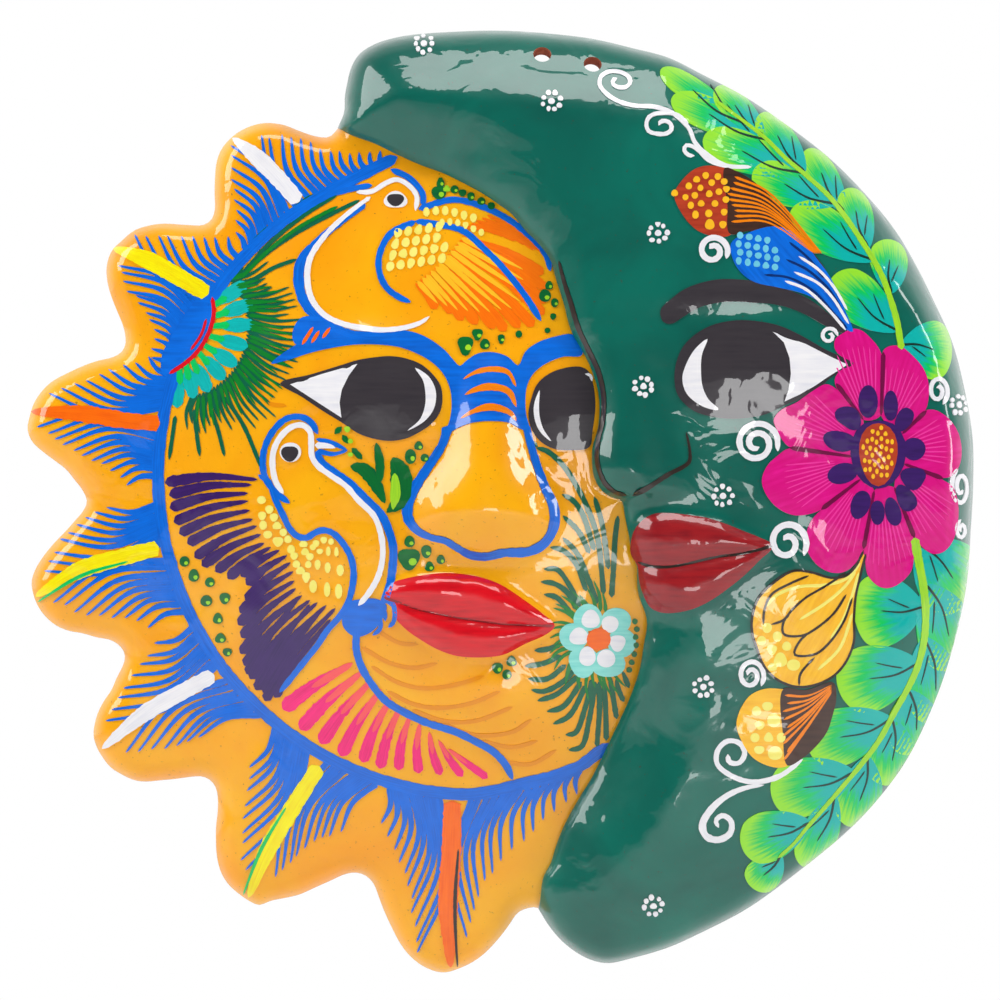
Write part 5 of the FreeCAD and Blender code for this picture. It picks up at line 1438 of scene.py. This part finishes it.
scrolls.stroke(spiral((67.6, 79.2), 5.0, turns=1.5, start=-30), 1.9, ends=(3, 2))
scrolls.stroke(spiral((104.6, 52.1), 2.9, turns=1.3, start=0, count=11), 1.2, ends=(3, 2))
scrolls.stroke(spiral((81.4, 18.0), 7.2, inner=0.2, turns=1.9, start=-20), 1.9, ends=(4, 2))
scrolls.stroke(spiral((91.0, -13.6), 6.6, inner=0.2, turns=1.5, start=-35, tall=1.08), 2.0, ends=(4, 2))
scrolls.stroke(spiral((139.7, 34.8), 3.4, turns=1.5, start=-60, tall=1.45, count=13), 1.4, ends=(3, 2))
scrolls.stroke(spiral((147.3, 4.2), 3.4, turns=1.6, start=110, tall=1.9, count=15), 1.4, ends=(3, 2))
scrolls.stroke(spiral((147.7, -9.5), 2.1, turns=1.4, start=100, tall=1.6, count=11), 1.3, ends=(3, 2))
scrolls.stroke(spiral((79.6, -55.7), 4.4, turns=1.6, start=-40, tall=1.2), 1.5, ends=(3, 2))
scrolls.stroke(((96.3, -82.5), (88.7, -88), (80.3, -89.7), (73.4, -87.6), (69, -83.8), (69.2, -79.5),
    (72.2, -76.6), (76, -77.2), (77.8, -80.4), (76, -83.6), (72.8, -83.2), (72.4, -80.8)), 1.6, ends=(6, 2))
scrolls.stroke(((84, -90.7), (78, -91.6), (72, -94.2), (67, -98.6), (64.4, -103.4), (65.6, -107),
    (69.4, -108.2), (73.2, -106.2), (73.6, -102.4), (70.9, -100.4), (68.7, -102), (69.6, -104.3)),
    (0.9, 1.4, 1.8, 2.2, 2.4, 2.2, 2.0, 1.9, 1.8, 1.7, 1.5, 1.3), ends=(6, 2))
DOT_FLOWERS = ((-24.4, 146.3, 0), (16.4, 127.0, 20), (50.2, 84.8, 5), (45.4, 36.0, 15), (70.7, 1.3, 0),
    (147, 30.5, 10), (64.6, -59.3, 25), (49.0, -129.7, 12))
for x, z, turn in DOT_FLOWERS:
    scrolls.dot(x, z, 1.05)
    for k in range(8):
        angle = math.radians(turn + 45 * k + rng.uniform(-6, 6))
        reach = 2.8 + rng.uniform(-0.25, 0.25)
        scrolls.dot(x + reach * math.cos(angle), z + reach * math.sin(angle), 0.8 + rng.uniform(-0.1, 0.15))
scrolls.finish()

# ------------------------------------------------------------------ what stands for what

for piece in (sun_body, moon_body, *painted):
    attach(piece, "root")
RAY_NODES = [f"sun_ray_{k}" for k in range(1, 8)]
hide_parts("sun_face", "sun_nose", *RAY_NODES)
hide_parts("moon_crescent", "moon_nose")
STANDS_FOR = {
    "sun_lips_red": ("sun_lips", ("sun_upper_lip", "sun_lower_lip")),
    "moon_lips_red": ("moon_lips", ("moon_upper_lip", "moon_lower_lip")),
    "sun_eyes_dark": ("eyes", ("sun_left_eye", "sun_right_eye")),
    "moon_eye_dark": ("eyes", ("moon_eye",)),
}
for piece in painted:
    if piece.name in STANDS_FOR:
        slot, nodes = STANDS_FOR[piece.name]
        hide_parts(*nodes)

# ------------------------------------------------------------------ studio

FLOOR_DROP = 0.45
FLOOR_RADIUS = 7.0
FLOOR_FORWARD = 4.0


def make_floor():
    """A plain pale disc well below the plaque."""
    spokes = 96
    rings = [(FLOOR_RADIUS * math.cos(math.tau * k / spokes),
              FLOOR_RADIUS * math.sin(math.tau * k / spokes))
             for k in range(spokes)]
    places = [(x, y - FLOOR_FORWARD, -FLOOR_DROP - depth) for depth in (0.0, 0.02) for x, y in rings]
    faces = [tuple(range(spokes)), tuple(reversed(range(spokes, 2 * spokes)))]
    faces += [(k, k + spokes, (k + 1) % spokes + spokes, (k + 1) % spokes) for k in range(spokes)]
    nodes = Nodes("pale floor")
    nodes.shader.inputs["Base Color"].default_value = (0.86, 0.86, 0.86, 1.0)
    nodes.shader.inputs["Roughness"].default_value = 0.9
    return new_object("floor", places, faces, (nodes.material,))


def add_light(name, place, aim, size, power):
    """A soft panel in watts that faces its aim."""
    data = bpy.data.lights.new(name, "AREA")
    data.shape = "RECTANGLE"
    data.size, data.size_y = size
    data.energy = power
    light = bpy.data.objects.new(name, data)
    light.location = place
    light.rotation_mode = "QUATERNION"
    light.rotation_quaternion = (Vector(aim) - Vector(place)).to_track_quat("-Z", "Y")
    bpy.context.scene.collection.objects.link(light)


floor = make_floor()
add_light("low front window", (0.46, -1.95, -0.42), (0, 0, 0), (0.4, 0.8), 7)
add_light("high left window", (-1.9, -0.75, 1.1), (0, 0, 0), (1.1, 1.4), 30)
add_light("right window", (2.0, -0.8, 0.5), (0, 0, 0), (0.4, 1.2), 17)
add_light("top panel", (0.2, -0.9, 1.9), (0, 0, 0), (1.4, 0.7), 19)


def make_world():
    """A pale room: white behind the plaque and darker in front, so the varnish stays clear."""
    world = bpy.data.worlds.new("room")
    world.use_nodes = True
    tree = world.node_tree
    heading = tree.nodes.new("ShaderNodeTexCoord")
    parts = tree.nodes.new("ShaderNodeSeparateXYZ")
    ramp = tree.nodes.new("ShaderNodeMapRange")
    ramp.inputs["From Min"].default_value = -0.35
    ramp.inputs["From Max"].default_value = 0.45
    ramp.inputs["To Min"].default_value = 0.08
    ramp.inputs["To Max"].default_value = 1.0
    tree.links.new(heading.outputs["Generated"], parts.inputs[0])
    tree.links.new(parts.outputs["Y"], ramp.inputs["Value"])
    background = tree.nodes["Background"]
    background.inputs["Color"].default_value = (1.0, 1.0, 1.0, 1.0)
    tree.links.new(ramp.outputs["Result"], background.inputs["Strength"])
    return world


scene = bpy.context.scene
scene.world = make_world()
scene.view_settings.view_transform = "Standard"

LENS = 200.0
FILM = 36.0
PICTURE_WIDTH = 0.320
FACE_DEPTH = -0.028
camera_data = bpy.data.cameras.new("camera")
camera_data.lens = LENS
camera_data.sensor_width = FILM
camera = bpy.data.objects.new("camera", camera_data)
camera.location = (0.0, FACE_DEPTH - PICTURE_WIDTH * LENS / FILM, 0.0)
camera.rotation_euler = (math.pi / 2, 0.0, 0.0)
scene.collection.objects.link(camera)
scene.camera = camera
